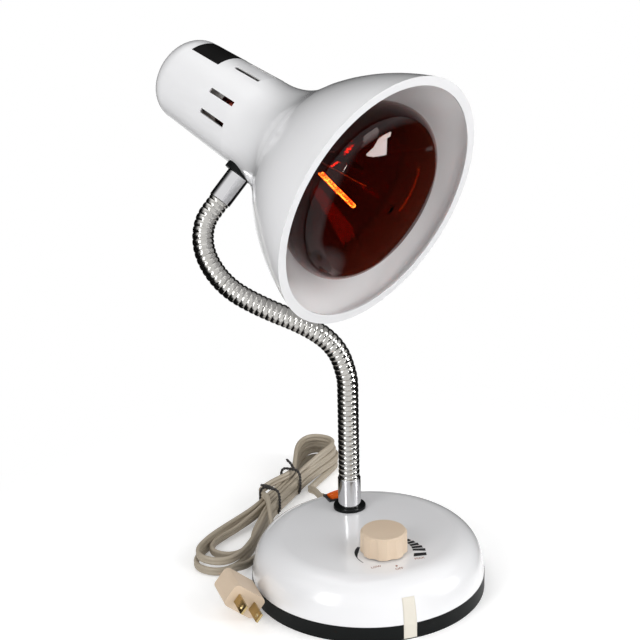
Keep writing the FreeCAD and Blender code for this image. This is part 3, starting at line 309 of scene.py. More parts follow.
studio = {
    "worldLevel": 0.6,
    "floorRadius": 7.0,
    "floorSides": 96,
    "floorColor": (0.93, 0.93, 0.93),
    "floorDull": 0.985,  # what its darker grain keeps of that colour
    "floorGrain": 40,
    "floorLift": 0.26,  # white that the floor shows beside its own shade
    "fadeStart": 0.16,  # metres from the middle, where the floor starts to go white
    "fadeEnd": 0.34,
    "lampAim": (0, 0, 0.18),
    "lamps": {
        "leftLamp": {"place": (-1.5, -0.85, 0.75), "size": (0.5, 1.1), "watts": 12.5},
        "rightLamp": {"place": (1.1, -1.15, 1.0), "size": (0.6, 1.0), "watts": 8.2},
        "windowLamp": {"place": (1.13, -0.64, 0.3), "size": (0.22, 0.32), "watts": 4},
        "spotLamp": {"place": (0.45, -1.25, 0.2), "size": (0.08, 0.13), "watts": 1.1},
        "topLamp": {"place": (-0.2, 0.3, 1.7), "size": (0.9, 0.9), "watts": 1.5},
        # this one only glints on what is glossy
        "glintLamp": {
            "place": (0.666, -0.36, 0.216), "size": (0.17, 0.3), "watts": 3.2,
            "aim": (0.008, -0.012, 0.311), "unseenBy": "visible_diffuse",
        },
    },
    # black cards on the table, which only reflections see: from and to are degrees round the lamp
    "cards": {
        "leftCard": {"from": 88, "to": 212, "near": 0.1, "far": 0.95, "tall": 0.8},
        "rightCard": {"from": -80, "to": 78, "near": 0.1, "far": 0.95, "tall": 0.8},
        "backCard": {"from": 5, "to": 175, "near": 0.9, "far": 1.0, "tall": 1.65},
    },
    "cardColumns": 32,
    "cardFade": 5,  # columns in which each side of a card fades out
    "cardRise": 0.0015,  # how far a card lies above the floor
    "cardFull": 1.5,  # times its near reach, where a card is quite black
    "cardBlack": (0.008, 0.008, 0.008, 1),
    "white": (1, 1, 1, 1),
}


def seenDirectly(graph):  # 1 for a ray from the camera, off a mirror or through glass
    camera, mirror, glass = [
        graph.add("ShaderNodeLightPath", out=f"Is {kind} Ray")
        for kind in ("Camera", "Glossy", "Transmission")
    ]
    return camera.math("MAXIMUM", mirror).math("MAXIMUM", glass)


def makeWorld():
    world = bpy.data.worlds.new("studioWorld")
    scene.world = world
    world.use_nodes = True
    world.node_tree.nodes.clear()
    graph = Graph(world.node_tree)
    level = graph.between(seenDirectly(graph), 0, 1, studio["worldLevel"], 1.0)
    sky = graph.add("ShaderNodeBackground", {}, {"Color": studio["white"], "Strength": level})
    leave = world.node_tree.nodes.new("ShaderNodeOutputWorld")
    world.node_tree.links.new(sky.socket, leave.inputs["Surface"])


def floorSurface(graph):
    reach = graph.add("ShaderNodeVectorMath", {"operation": "LENGTH"}, {0: graph.place()}, "Value")
    far = graph.between(reach, studio["fadeStart"], studio["fadeEnd"])
    pale = studio["floorColor"]
    dull = [studio["floorDull"] * share for share in pale]
    color = graph.colors(graph.noise(studio["floorGrain"]), pale, dull)
    matt = graph.add("ShaderNodeBsdfDiffuse", {}, {"Color": color})
    direct = seenDirectly(graph)
    lift, bright = [
        graph.add("ShaderNodeEmission", {}, {"Color": studio["white"], "Strength": strength})
        for strength in (direct * studio["floorLift"], 1.0)
    ]
    near = graph.add("ShaderNodeAddShader", {}, {0: matt, 1: lift})
    return graph.mixed(far * direct, near, bright)


def makeFloor():
    sides = studio["floorSides"]
    rim = [levelWay(k * math.tau / sides) * studio["floorRadius"] for k in range(sides)]
    mesh = bpy.data.meshes.new("floor")
    mesh.from_pydata(rim, [], [tuple(range(sides))])
    mesh.materials.append(finish("paleFloor", floorSurface))
    floor = addObject("floor", mesh)


def makeLamps():
    for name, lamp in studio["lamps"].items():
        data = bpy.data.lights.new(name, "AREA")
        data.shape = "RECTANGLE"
        data.size, data.size_y = lamp["size"]
        data.energy = lamp["watts"]
        light = addObject(name, data)
        light.location = lamp["place"]
        light.rotation_mode = "QUATERNION"
        way = Vector(lamp.get("aim", studio["lampAim"])) - Vector(lamp["place"])
        light.rotation_quaternion = way.to_track_quat("-Z", "Y")
        if "unseenBy" in lamp:
            setattr(light, lamp["unseenBy"], False)


def cardSurface(graph):
    cover = graph.add("ShaderNodeAttribute", {"attribute_name": "cover"}, out="Fac")
    clear = graph.add("ShaderNodeBsdfTransparent")
    black = graph.add("ShaderNodeBsdfDiffuse", {}, {"Color": studio["cardBlack"]})
    return graph.mixed(cover, clear, black)


def makeCards():  # each lies flat, then stands up at its far edge, and fades out at its sides and its top
    black = finish("blackCard", cardSurface)
    columns, rise = studio["cardColumns"], studio["cardRise"]
    for name, card in studio["cards"].items():
        outline = [
            (card["near"], rise, 0), (card["near"] * studio["cardFull"], rise, 1), (card["far"], rise, 1),
            (card["far"], card["tall"] / 2, 1), (card["far"], card["tall"], 0),
        ]
        points, covers, faces = [], [], []
        for k in range(columns + 1):
            way = levelWay(math.radians(blendOf((card["from"], card["to"]), k / columns)))
            side = min(1.0, min(k, columns - k) / studio["cardFade"])
            for reach, high, cover in outline:
                points.append(way * reach + Vector((0, 0, high)))
                covers.append(cover * side)
        count = len(outline)
        for k in range(columns):
            for low in range(k * count, (k + 1) * count - 1):
                faces.append((low, low + 1, low + count + 1, low + count))
        mesh = bpy.data.meshes.new(name)
        mesh.from_pydata(points, [], faces)
        mesh.attributes.new("cover", "FLOAT", "POINT").data.foreach_set("value", covers)
        mesh.materials.append(black)
        made = addObject(name, mesh)
        made.visible_camera = made.visible_diffuse = made.visible_shadow = made.visible_transmission = False


scene.view_settings.view_transform = "Standard"
makeWorld()
makeFloor()
makeLamps()
makeCards()
print("studio lit")


bulb = {
    "rimCentre": (0.01456, 0.00903, 0.268235),  # of the shade's mouth
    "faces": (0.448212, -0.839427, -0.307357),
    "wallStart": -0.002,  # metres along the axis from the shade's mouth, as are the next two
    "mirrorStart": -0.030,
    "mirrorFull": -0.034,
    "ruby": (0.19, 0.034, 0.018),
    "rubyPale": (0.24, 0.044, 0.022),
    "glow": (1.0, 0.06, 0.01),
    "glowPale": (1.0, 0.85, 0.15),
    "glowStrength": 38.0,
}


# where painted light goes: the bell's inner wall is painted lighter, standing in for light that falls into the
# bell
def paintedLightInBell(graph):  # 1 on the shade's inner wall, whose faces look at its axis
    normal = graph.add("ShaderNodeTexCoord", out="Normal")
    offset = graph.offset(bulb["rimCentre"])
    depth = graph.dot(offset, bulb["faces"])
    outward = graph.dot(normal, offset) - depth * graph.dot(normal, bulb["faces"])
    return (outward < 0) * (depth < bulb["wallStart"])


def enamelSurface(graph):  # stoved white paint with a faint orange peel
    cloud = graph.noise(9, 4)
    peel = graph.noise(260, 2)
    outer = graph.colors(cloud, (0.80, 0.80, 0.815), (0.83, 0.83, 0.84))
    # painted light: the inner wall takes a lighter white than the outside, standing in for light that falls into
    # the bell
    inner = graph.colors(cloud, (0.925, 0.925, 0.93), (0.95, 0.95, 0.95))
    return graph.surface(
        Base_Color=graph.colors(paintedLightInBell(graph), outer, inner),
        Roughness=graph.between(graph.noise(30, 5), 0.3, 0.7, 0.2, 0.27),
        Coat_Weight=1.0,
        Coat_Roughness=0.12,
        Normal=graph.bump(peel, 0.06, 0.0003),
    )


def chromeSurface(graph):  # bright plate with a few wiping marks
    marks = graph.vector("MULTIPLY", graph.place(), (900, 900, 60))
    haze = graph.noise(1.0, 3, 0.6, marks)
    return graph.surface(
        Base_Color=graph.colors(graph.noise(35), (0.70, 0.70, 0.71), (0.62, 0.62, 0.635)),
        Metallic=1.0,
        Roughness=graph.between(haze, 0.3, 0.8, 0.07, 0.17),
        Normal=graph.bump(haze, 0.04, 0.0001),
    )


def hoseSurface(graph):  # plated steel strip, darker and lighter in random patches
    worn = graph.noise(160, 4, 0.6)
    return graph.surface(
        Base_Color=graph.colors(worn, (0.36, 0.35, 0.33), (0.68, 0.67, 0.645)),
        Metallic=1.0,
        Roughness=graph.between(worn, 0.3, 0.7, 0.2, 0.1),
        Normal=graph.bump(graph.noise(900, 2), 0.1, 0.0001),
    )


# moulded plastic with a fine grain
def plasticSurface(light, dark, rough=0.42, grain=900, depth=0.12, shine=0.5):
    def build(graph):
        cloud = graph.noise(28, 4)
        return graph.surface(
            Base_Color=graph.colors(cloud, dark, light),
            Roughness=graph.between(graph.noise(70, 4), 0.3, 0.7, rough - 0.06, rough + 0.08),
            Specular_IOR_Level=shine,
            Normal=graph.bump(graph.noise(grain, 3), depth, 0.0002),
        )
    return build


def rubberSurface(graph):
    dust = graph.between(graph.noise(120, 6, 0.7), 0.55, 0.85)
    return graph.surface(
        Base_Color=graph.colors(dust, (0.005, 0.006, 0.006), (0.014, 0.014, 0.014)),
        Roughness=graph.between(dust, 0, 1, 0.42, 0.62),
        Specular_IOR_Level=0.1,
        Normal=graph.bump(graph.noise(700, 3), 0.15, 0.0002),
    )


def metalSurface(bright, dull, rough=0.35):  # plain turned or pressed metal
    def build(graph):
        stain = graph.noise(90, 5, 0.6)
        return graph.surface(
            Base_Color=graph.colors(stain, dull, bright),
            Metallic=1.0,
            Roughness=graph.between(stain, 0.3, 0.7, rough + 0.12, rough - 0.05),
            Normal=graph.bump(graph.noise(800, 3), 0.1, 0.0001),
        )
    return build


def porcelainSurface(graph):
    return graph.surface(
        Base_Color=graph.colors(graph.noise(60, 4), (0.80, 0.78, 0.74), (0.86, 0.85, 0.82)),
        Roughness=graph.between(graph.noise(30), 0.3, 0.7, 0.16, 0.26),
        Coat_Weight=0.6,
        Coat_Roughness=0.08,
    )


def boardSurface(graph):
    weave = graph.add("ShaderNodeTexChecker", {}, {"Vector": graph.place(), "Scale": 700.0}, "Fac")
    return graph.surface(
        Base_Color=graph.colors(weave, (0.05, 0.17, 0.06), (0.07, 0.21, 0.08)),
        Roughness=0.4,
        Normal=graph.bump(weave, 0.2, 0.0001),
    )


def clearGlassSurface(graph):
    tint = graph.colors(graph.noise(50), (0.95, 0.96, 0.95), (0.99, 0.99, 0.99))
    return graph.surface(Base_Color=tint, Roughness=0.02, IOR=1.5, Transmission_Weight=1.0)


def rubySurface(graph):  # ruby glass in front, silvered behind
    depth = graph.dot(graph.offset(bulb["rimCentre"]), bulb["faces"])
    tint = graph.colors(graph.noise(26, 4), bulb["ruby"], bulb["rubyPale"])
    glass = graph.surface(Base_Color=tint, Roughness=0.01, IOR=1.32, Transmission_Weight=1.0)
    streak = graph.noise(45, 4)
    mirror = graph.surface(
        Base_Color=graph.colors(streak, (0.24, 0.045, 0.03), (0.32, 0.06, 0.04)),
        Metallic=1.0,
        Roughness=graph.between(streak, 0.3, 0.7, 0.02, 0.06),
    )
    behind = graph.between(depth, bulb["mirrorStart"], bulb["mirrorFull"])
    return graph.mixed(behind, glass, mirror)


def glowSurface(graph):
    heat = graph.between(graph.noise(260, 3), 0.38, 0.62)
    return graph.surface(
        Base_Color=(0.1, 0.05, 0.02, 1),
        Emission_Color=graph.colors(heat, bulb["glow"], bulb["glowPale"]),
        Emission_Strength=bulb["glowStrength"],
    )


def cordSurface(graph):  # soft grey-beige vinyl with scuffs
    cloud = graph.noise(22, 5, 0.6)
    scuff = graph.between(graph.noise(240, 5, 0.7), 0.56, 0.8)
    plain = graph.colors(cloud, (0.34, 0.29, 0.22), (0.45, 0.39, 0.305))
    return graph.surface(
        Base_Color=graph.colors(scuff * 0.35, plain, (0.27, 0.24, 0.2)),
        Roughness=graph.between(cloud, 0.3, 0.7, 0.4, 0.54),
        Normal=graph.bump(graph.noise(600, 3), 0.15, 0.0002),
    )


# light colour, dark colour, roughness, grain, depth of the grain, shine
plastics = {
    "creamPlastic": ((0.69, 0.56, 0.43), (0.62, 0.48, 0.345)),
    "blackPlastic": ((0.03, 0.03, 0.032), (0.018, 0.018, 0.02), 0.36),
    "orangePlastic": ((0.85, 0.14, 0.012), (0.74, 0.10, 0.01), 0.2, 500, 0.03),
    "paintedIron": ((0.09, 0.09, 0.095), (0.05, 0.05, 0.055), 0.6, 300, 0.5),
    "printInk": ((0.02, 0.02, 0.022), (0.012, 0.012, 0.014), 0.45, 400, 0.02, 0.2),
    "wordInk": ((0.30, 0.10, 0.055), (0.22, 0.07, 0.04), 0.45, 400, 0.02, 0.2),
    "blackFoil": ((0.007, 0.006, 0.006), (0.004, 0.004, 0.004), 0.4, 200, 0.05, 0.03),
    "plainPaper": ((0.74, 0.70, 0.62), (0.68, 0.64, 0.55), 0.5, 500, 0.1),
    "tieWire": ((0.035, 0.03, 0.028), (0.015, 0.013, 0.012), 0.45, 500, 0.2),
}


def plastic(name):
    return finish(name, plasticSurface(*plastics[name]))


finishes = {
    "white_enamel": finish("whiteEnamel", enamelSurface),
    "chrome": finish("chromePlate", chromeSurface),
    "hose": finish("hoseSteel", hoseSurface),
    "cream_plastic": plastic("creamPlastic"),
    "black_plastic": plastic("blackPlastic"),
    "orange_plastic": plastic("orangePlastic"),
    "black_rubber": finish("blackRubber", rubberSurface),
    "steel": finish("zincSteel", metalSurface((0.62, 0.62, 0.63), (0.42, 0.42, 0.43))),
    "iron": plastic("paintedIron"),
    "brass": finish("yellowBrass", metalSurface((0.62, 0.47, 0.22), (0.36, 0.27, 0.12), 0.3)),
    "porcelain": finish("glazedPorcelain", porcelainSurface),
    "bulb_red": finish("rubyGlass", rubySurface),
    "clear_glass": finish("clearGlass", clearGlassSurface),
    "board": finish("circuitBoard", boardSurface),
    "cord": finish("cordVinyl", cordSurface),
}
glowing = finish("hotFilament", glowSurface)
printInk, wordInk = plastic("printInk"), plastic("wordInk")
labelBlack, labelPaper = plastic("blackFoil"), plastic("plainPaper")
tieWire = plastic("tieWire")


def paintParts():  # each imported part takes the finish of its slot
    for piece in frame["record"]["subparts"]:
        for slot in parts[piece["node"]].material_slots:
            slot.material = finishes[piece["material_slot"]]


paintParts()


cordSet = {
    "width": 6.0,  # the flat twin stands on edge
    "thick": 3.2,
    "web": 1.05,  # half the web between its two wires
    "wireArc": {"from": -34, "step": 31, "count": 9},  # degrees round each wire
    "length": 1.64,  # metres
    "steps": 7,
    "exit": (0, 101.08, 17.6),
    "hankLeft": (-105, 45),
    "hankWay": (0.681, 0.732),
    "ties": (104, 140),
    "lead": [
        (0, 87.08, 17.6), (0, 112.08, 17.6), (-1, 128.08, 12.6),
        (4, 141.08, 5.6), (12, 153.08, 3.3), (22, 163.08, 3.3),
    ],
    # each fold: its tip along the hank, half its width, its height, and where its two runs pass the ties
    "folds": [
        {"tip": 205, "half": 13.0, "high": 3.3, "comes": None, "goes": (4.9, 4.5)},
        {"tip": 5, "half": 16.3, "high": 3.3, "comes": (4.9, 4.5), "goes": (-4.9, 4.5)},
        {"tip": 206, "half": 13.4, "high": 9.7, "comes": (-4.9, 4.5), "goes": (4.9, 11.0)},
        {"tip": 8, "half": 15.8, "high": 9.8, "comes": (4.9, 11.0), "goes": (-4.9, 11.0)},
        {"tip": 202, "half": 12.9, "high": 16.1, "comes": (-4.9, 11.0), "goes": (1.6, 11.0)},
        {"tip": 25, "half": 12.9, "high": 5.6, "comes": (1.6, 11.0), "goes": (-1.6, 11.0), "slim": 0.7},
        {"tip": 200, "half": 12.5, "high": 22.5, "comes": (-1.6, 11.0), "goes": (0.0, 17.6)},
    ],
    # share of the way from tip to tie, share of the half width, share of the run's own place
    "foldShape": [
        (0.00, 0.36, 0.0), (0.06, 0.82, 0.0), (0.16, 1.00, 0.0), (0.30, 1.00, 0.0),
        (0.46, 0.82, 0.1), (0.64, 0.48, 0.4), (0.82, 0.14, 0.8),
    ],
    "bendShare": 0.4,  # share of that way over which a fold keeps its height and its full width
    "firstHigh": 3.3,  # height of the lead where it comes to the hank
    "firstFrom": 180,  # along the hank, where the lead runs into the first fold
    "bulge": [(127, 8.0, 15.5), (117, 13.5, 12.5), (109, 10.5, 14.0)],
    "lastRun": [
        (98, -1.0, 17.4), (90, -6.0, 16.8), (80, -12.0, 15.5), (70, -18.5, 10.0), (60, -21.6, 4.2),
        (47, -22.8, 3.3), (34, -23.0, 3.3), (20, -22.0, 4.2), (7, -21.0, 9.5),
    ],
    "plugLead": [(-94.3, 19, 15.4), (-94.8, 3, 15.4)],
    "plugLean": 51.0,  # degrees that the cord turns to meet the plug
    "leanReach": 0.07,  # metres over which it does
}


def onHank(along, across, high):
    leftX, leftY = cordSet["hankLeft"]
    wayX, wayY = cordSet["hankWay"]
    return Vector((leftX + wayX * along - wayY * across, leftY + wayY * along + wayX * across, high)) * mm


def foldRun(fold, place, side, waist):  # half a fold, from its tip to the tie
    run, bend = [], cordSet["bendShare"]
    for share, wide, own in cordSet["foldShape"]:
        if share > bend:
            wide *= fold.get("slim", 1.0)
        across = side * fold["half"] * wide + place[0] * own
        rise = max(0.0, (share - bend) / (1 - bend))
        high = fold["high"] + (place[1] - fold["high"]) * rise
        run.append((fold["tip"] + (waist - fold["tip"]) * share, across, high))
    return run


def cordControls():
    points = [Vector(p) * mm for p in cordSet["lead"]]
    near, far = cordSet["ties"]
    for number, fold in enumerate(cordSet["folds"]):
        atFar = number % 2 == 0
        waist = far if atFar else near
        other = near if atFar else far
        inSide, outSide = (-1, 1) if atFar else (1, -1)
        inward = foldRun(fold, fold["comes"] or (0, cordSet["firstHigh"]), inSide, waist)[::-1]
        if fold["comes"] is None:
            inward = [p for p in inward if p[0] > cordSet["firstFrom"]]
        outward = foldRun(fold, fold["goes"], outSide, waist)
        points += [onHank(*p) for p in inward + outward]
        points += [onHank(waist, *fold["goes"])]
        if number < len(cordSet["folds"]) - 1:
            points += [onHank((waist + other) / 2, *fold["goes"]), onHank(other, *fold["goes"])]
    points += [onHank(*p) for p in cordSet["bulge"]]
    points += [onHank(*p) for p in cordSet["lastRun"]]
    return points + [Vector(p) * mm for p in cordSet["plugLead"]]


def twinOutline():  # two round wires side by side, joined by a web: (out, up) from the middle
    half, core = cordSet["thick"] / 2, cordSet["width"] / 2 - cordSet["thick"] / 2
    arc, web = cordSet["wireArc"], cordSet["web"]
    wire = []
    for k in range(arc["count"]):
        angle = math.radians(arc["from"] + arc["step"] * k)
        wire.append((half * math.cos(angle), core + half * math.sin(angle)))
    return [(web, 0)] + wire + [(-web, 0)] + [(-x, -y) for x, y in wire]


def makeCord():
    line = splinePoints("cordLine", cordControls(), cordSet["steps"])
    ways = tangents(line)
    outline = twinOutline()
    total = lengthOf(line)
    rings, done = [], 0.0
    for k, (spot, way) in enumerate(zip(line, ways)):
        if k:
            done += (spot - line[k - 1]).length
        out = way.cross(Vector((0, 0, 1))).normalized()
        lean = max(0.0, 1 - (total - done) / cordSet["leanReach"])
        turn = Quaternion(way, math.radians(cordSet["plugLean"]) * lean * lean * (3 - 2 * lean))
        out = turn @ out
        up = out.cross(way)
        rings.append([spot + (out * x + up * y) * mm for x, y in outline])
    cord = addObject("mains_cord", ringMesh("mains_cord", rings, finishes["cord"]))
    print("cord length", round(total, 4), "points", len(line))
    return cord, line


cord, cordLine = makeCord()


tieSet = {
    "wire": 0.62,  # radius of each of the two twisted wires
    "wind": 0.5,  # how far each lies from the middle of the pair
    "turnsPerMetre": 210,
    "sides": 10,
    "step": 0.4,
    "halfWidth": 8.1,
    "low": 1.1,
    "high": 22.0,
    "corners": 25,
    "cornerFrom": 100,  # degrees round the bundle, to the first corner
    "cornerStep": -15,
    "drift": 0.02,  # along the hank, from corner to corner
    "squareness": 0.55,  # less is squarer
    "loopSteps": 6,
    "tail": 11.0,
    "tailShape": [(0.3, 1.6), (0.6, 2.4), (0.85, 2.0), (1.0, 2.6)],  # share of the tail, height
    "tailWays": [(-0.75, 0.45, 0.0), (-0.35, 0.6, 0.35)],
}


def twistTree():
    sizes = {"Wire": tieSet["wire"] * mm, "Wind": tieSet["wind"] * mm, "Turns": tieSet["turnsPerMetre"] * 1.0}
    graph, given = newTree("twistedPair", sizes)
    line = graph.add("GeometryNodeMeshToCurve", {}, {0: given["Geometry"]})
    spacing = {"Curve": line, "Length": tieSet["step"] * mm}
    even = graph.add("GeometryNodeResampleCurve", {"mode": "LENGTH"}, spacing)
    run = graph.add("GeometryNodeSplineParameter", out="Length")
    normal = graph.add("GeometryNodeInputNormal")
    tangent = graph.add("GeometryNodeInputTangent")
    third = graph.vector("CROSS_PRODUCT", normal, tangent)
    circle = graph.circle(tieSet["sides"], given["Wire"])
    joined = graph.add("GeometryNodeJoinGeometry")
    for start in (0.0, math.pi):
        angle = run * given["Turns"] * math.tau + start
        sideways = graph.scaled(normal, angle.math("COSINE") * given["Wind"])
        upward = graph.scaled(third, angle.math("SINE") * given["Wind"])
        shift = graph.vector("ADD", sideways, upward)
        strand = graph.add("GeometryNodeSetPosition", {}, {"Geometry": even, "Offset": shift})
        graph.tree.links.new(graph.pipe(strand, circle).socket, joined.socket.node.inputs[0])
    smooth = graph.add("GeometryNodeSetShadeSmooth", {}, {0: joined})
    return closeTree(graph, smooth, tieWire)


def squared(wave):
    return math.copysign(abs(wave) ** tieSet["squareness"], wave)


def tieRoute(along, tailWay):  # once round the bundle, then out in a tail
    low, high, half = tieSet["low"], tieSet["high"], tieSet["halfWidth"]
    middle, rise = (low + high) / 2, (high - low) / 2
    loop = []
    for k in range(tieSet["corners"]):
        angle = math.radians(tieSet["cornerFrom"] + tieSet["cornerStep"] * k)
        wide, tall = squared(math.cos(angle)), squared(math.sin(angle))
        loop.append(onHank(along + tieSet["drift"] * k, half * wide, middle + rise * tall))
    start, sideways = loop[-1], Vector(tailWay)
    for share, up in tieSet["tailShape"]:
        loop.append(start + sideways * tieSet["tail"] * share * mm + Vector((0, 0, up)) * mm)
    return loop


def makeTies():
    tree = twistTree()
    made = []
    for number, (along, tailWay) in enumerate(zip(cordSet["ties"], tieSet["tailWays"])):
        line = splinePoints("tieLine", tieRoute(along, tailWay), tieSet["loopSteps"])
        made.append(grow(f"tie_{number + 1}", lineMesh("tieLine", line), tree))
    return made


ties = makeTies()
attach(cord, "base")
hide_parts("cord_lead", "cord_hank", "cord_plug_lead")
for tie in ties:
    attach(tie, "base")
    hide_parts("cord_ties")
print("cord and ties made")


hoseSet = {
    "throat": 6.75,  # radius between two ribs
    "rib": 0.65,
    "pitch": 3.8,
    "ringsPerRib": 12,
    "sides": 44,
    "roundness": 0.5,  # of a rib: less is squarer
    "steps": 40,
    "points": [
        (0, 37.1, 54.78), (0, 37.1, 80), (0, 37.1, 105), (0, 37.1, 128), (0, 37.1, 139.28),
        (-5.6, 41.0, 159.88), (-22.8, 46.7, 175.58), (-55.8, 58.5, 190.98), (-75.6, 69.0, 204.28),
        (-86.2, 80.6, 224.28), (-83.6, 88.2, 243.98), (-70.92, 89.98, 257.61), (-64.82, 90.84, 264.17),
    ],
    "blendReach": 6.5,
}


def hoseTree(rings):
    sizes = {
        "Rings": rings, "First ring": 0, "Last ring": rings - 1,
        "Throat": hoseSet["throat"] * mm, "Rib": hoseSet["rib"] * mm,
    }
    graph, given = newTree("ribbedHose", sizes)
    line = graph.add("GeometryNodeMeshToCurve", {}, {0: given["Geometry"]})
    even = graph.add("GeometryNodeResampleCurve", {}, {"Curve": line, "Count": given["Rings"]})
    number = graph.add("GeometryNodeInputIndex")
    outside = (number < given["First ring"]) + (number > given["Last ring"])
    stretch = {"Geometry": even, "Selection": outside}
    part = graph.add("GeometryNodeDeleteGeometry", {"domain": "POINT"}, stretch)
    step = graph.add("GeometryNodeInputIndex") / hoseSet["ringsPerRib"]
    wave = (step.math("FRACT") * math.pi).math("SINE").math("MAXIMUM", 0.0)
    width = wave ** hoseSet["roundness"] * given["Rib"] + given["Throat"]
    skin = graph.pipe(part, graph.circle(hoseSet["sides"], 1.0), Scale=width)
    smooth = graph.add("GeometryNodeSetShadeSmooth", {}, {0: skin})
    return closeTree(graph, smooth, finishes["hose"])


def makeHose():
    line = splinePoints("hoseLine", [Vector(p) * mm for p in hoseSet["points"]], hoseSet["steps"])
    total = lengthOf(line)
    ribs = round(total / (hoseSet["pitch"] * mm))
    perRib = hoseSet["ringsPerRib"]
    rings = ribs * perRib + 1
    distances = [0.0]
    for a, b in zip(line, line[1:]):
        distances.append(distances[-1] + (b - a).length)
    ways = tangents(line)
    joints = [joint for joint in frame["joints"] if joint["name"].startswith("gooseneck")]
    spots = []  # where each joint is along the hose
    for joint in joints:
        place = Vector(joint["pos_m"])
        nearest = min(range(len(line)), key=lambda k: (line[k] - place).length)
        spots.append((distances[nearest], nearest))
    cuts = [0]
    for (a, _), (b, _) in zip(spots, spots[1:]):
        cuts.append(round((a + b) / 2 / total * ribs) * perRib)
    cuts.append(rings - 1)
    tree = hoseTree(rings)
    for number, joint in enumerate(joints):
        stretch = {"First ring": cuts[number], "Last ring": cuts[number + 1]}
        piece = grow(f"hose_{number + 1}", lineMesh("hoseLine", line), tree, stretch)
        nearest = spots[number][1]
        place, reach = line[nearest], ways[nearest] * hoseSet["blendReach"] * mm
        place - reach
        place + reach
        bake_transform(piece)
        links = [f"gooseneck_link_{number + 1}"]
        if number == len(joints) - 1:  # the last piece covers two links
            links.append(f"gooseneck_link_{number + 2}")
        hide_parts(*links)
    print("hose", round(total, 4), "m,", ribs, "ribs")


makeHose()


coilSet = {
    "middle": (-5.206, 35.131, 272.238),
    "way": (0.5827, 0.5351, -0.6117),
    "half": 28.0,
    "coilRadius": 1.3,
    "wire": 0.3,
    "turns": 20,
    "stepsPerTurn": 16,
    "sides": 7,
}


def coilTree():
    sizes = {
        "Length": 2 * coilSet["half"] * mm,
        "Radius": coilSet["coilRadius"] * mm,
        "Wire": coilSet["wire"] * mm,
    }
    graph, given = newTree("filamentCoil", sizes)
    spiral = {
        "Resolution": coilSet["stepsPerTurn"], "Rotations": float(coilSet["turns"]),
        "Start Radius": given["Radius"], "End Radius": given["Radius"], "Height": given["Length"],
    }
    helix = graph.add("GeometryNodeCurveSpiral", {}, spiral)
    return closeTree(graph, graph.pipe(helix, graph.circle(coilSet["sides"], given["Wire"])), glowing)


def makeFilament():
    piece = grow("glowing_filament", lineMesh("coilSeed", [(0, 0, 0), (0, 0, 1)]), coilTree())
    way = Vector(coilSet["way"]).normalized()
    turn = way.to_track_quat("Z", "Y")
    start = (Vector(coilSet["middle"]) - way * coilSet["half"]) * mm
    for vertex in piece.data.vertices:
        vertex.co = turn @ vertex.co + start
    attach(piece, "head")
    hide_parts("filament")


makeFilament()
print("filament wound")


def surfaceOf(*names):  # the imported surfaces, for dropping points onto
    points, faces = [], []
    for name in names:
        start = len(points)
        points += [vertex.co for vertex in parts[name].data.vertices]
        faces += [tuple(start + k for k in face.vertices) for face in parts[name].data.polygons]
    return BVHTree.FromPolygons(points, faces)


dome = surfaceOf("base_shell")
flank = surfaceOf("base_shell", "base_rim")
bell = surfaceOf("shade")
dial = {
    "centre": (0, -31.9),
    "rise": 0.07,  # how far the ink stands above the enamel
    "above": 100,  # where the rays start that fall on the dome
    # the crescent's edges: angle, inner radius, outer radius
    "crescent": [
        (209, 20.5, 20.9), (188, 19.8, 20.3), (179, 18.4, 20.2),
        (168, 17.0, 19.8), (155, 16.3, 19.0), (144, 16.3, 18.2),
    ],
    "crescentSteps": 8,
    "bars": {
        "count": 16, "start": 119, "sweep": -134, "half": 3.4, "inner": (17.4, 19.3), "length": (2.0, 8.6),
        "growth": 3,  # the power that the bars' length grows by
    },
    "lastBar": [(20.2, -28.5), (20.9, -40), (28.8, -29.5), (28.1, -22.5)],  # radius, angle
    # word, angle, radius, height of a letter
    "words": [("LOW", -124, 21.4, 3.0), ("OFF", -86, 24.6, 3.2), ("MAX", -41, 25.2, 3.2)],
    "letterSteps": 3,
    "dot": {"angle": -87, "radius": 21.0, "size": 0.8, "sides": 20},
}


def dropOnDome(x, y):  # in metres
    return dome.ray_cast(Vector((x, y, dial["above"] * mm)), Vector((0, 0, -1)))[0]


def onDome(radius, angle, lift=dial["rise"]):
    middleX, middleY = dial["centre"]
    x = middleX + radius * math.cos(math.radians(angle))
    y = middleY + radius * math.sin(math.radians(angle))
    return dropOnDome(x * mm, y * mm) + Vector((0, 0, lift * mm))


def inkPatch(corners):  # a thin closed tile over a ring of (radius, angle) corners
    count = len(corners)
    points = [onDome(*corner) for corner in corners] + [onDome(*corner, -dial["rise"]) for corner in corners]
    faces = [tuple(range(count)), tuple(range(2 * count - 1, count - 1, -1))]
    faces += [(k, (k + 1) % count, count + (k + 1) % count, count + k) for k in range(count)]
    mesh = bpy.data.meshes.new("ink")
    mesh.from_pydata(points, [], faces)
    return mesh


def crescentTiles():
    tiles = []
    for first, last in zip(dial["crescent"], dial["crescent"][1:]):
        for k in range(dial["crescentSteps"]):
            edge = []
            for share in (k / dial["crescentSteps"], (k + 1) / dial["crescentSteps"]):
                angle, inner, outer = (blendOf(pair, share) for pair in zip(first, last))
                edge.append(((inner, angle), (outer, angle)))
            tiles.append(inkPatch([edge[0][0], edge[0][1], edge[1][1], edge[1][0]]))
    return tiles


def barTiles():
    form = dial["bars"]
    tiles = [inkPatch(dial["lastBar"])]
    for k in range(form["count"]):
        share = k / (form["count"] - 1)
        angle = form["start"] + form["sweep"] * share
        inner = blendOf(form["inner"], share)
        outer = inner + blendOf(form["length"], share ** form["growth"])
        radii = [inner, (inner + outer) / 2, outer]
        corners = [(radius, angle - form["half"]) for radius in radii]
        tiles.append(inkPatch(corners + [(radius, angle + form["half"]) for radius in radii[::-1]]))
    return tiles


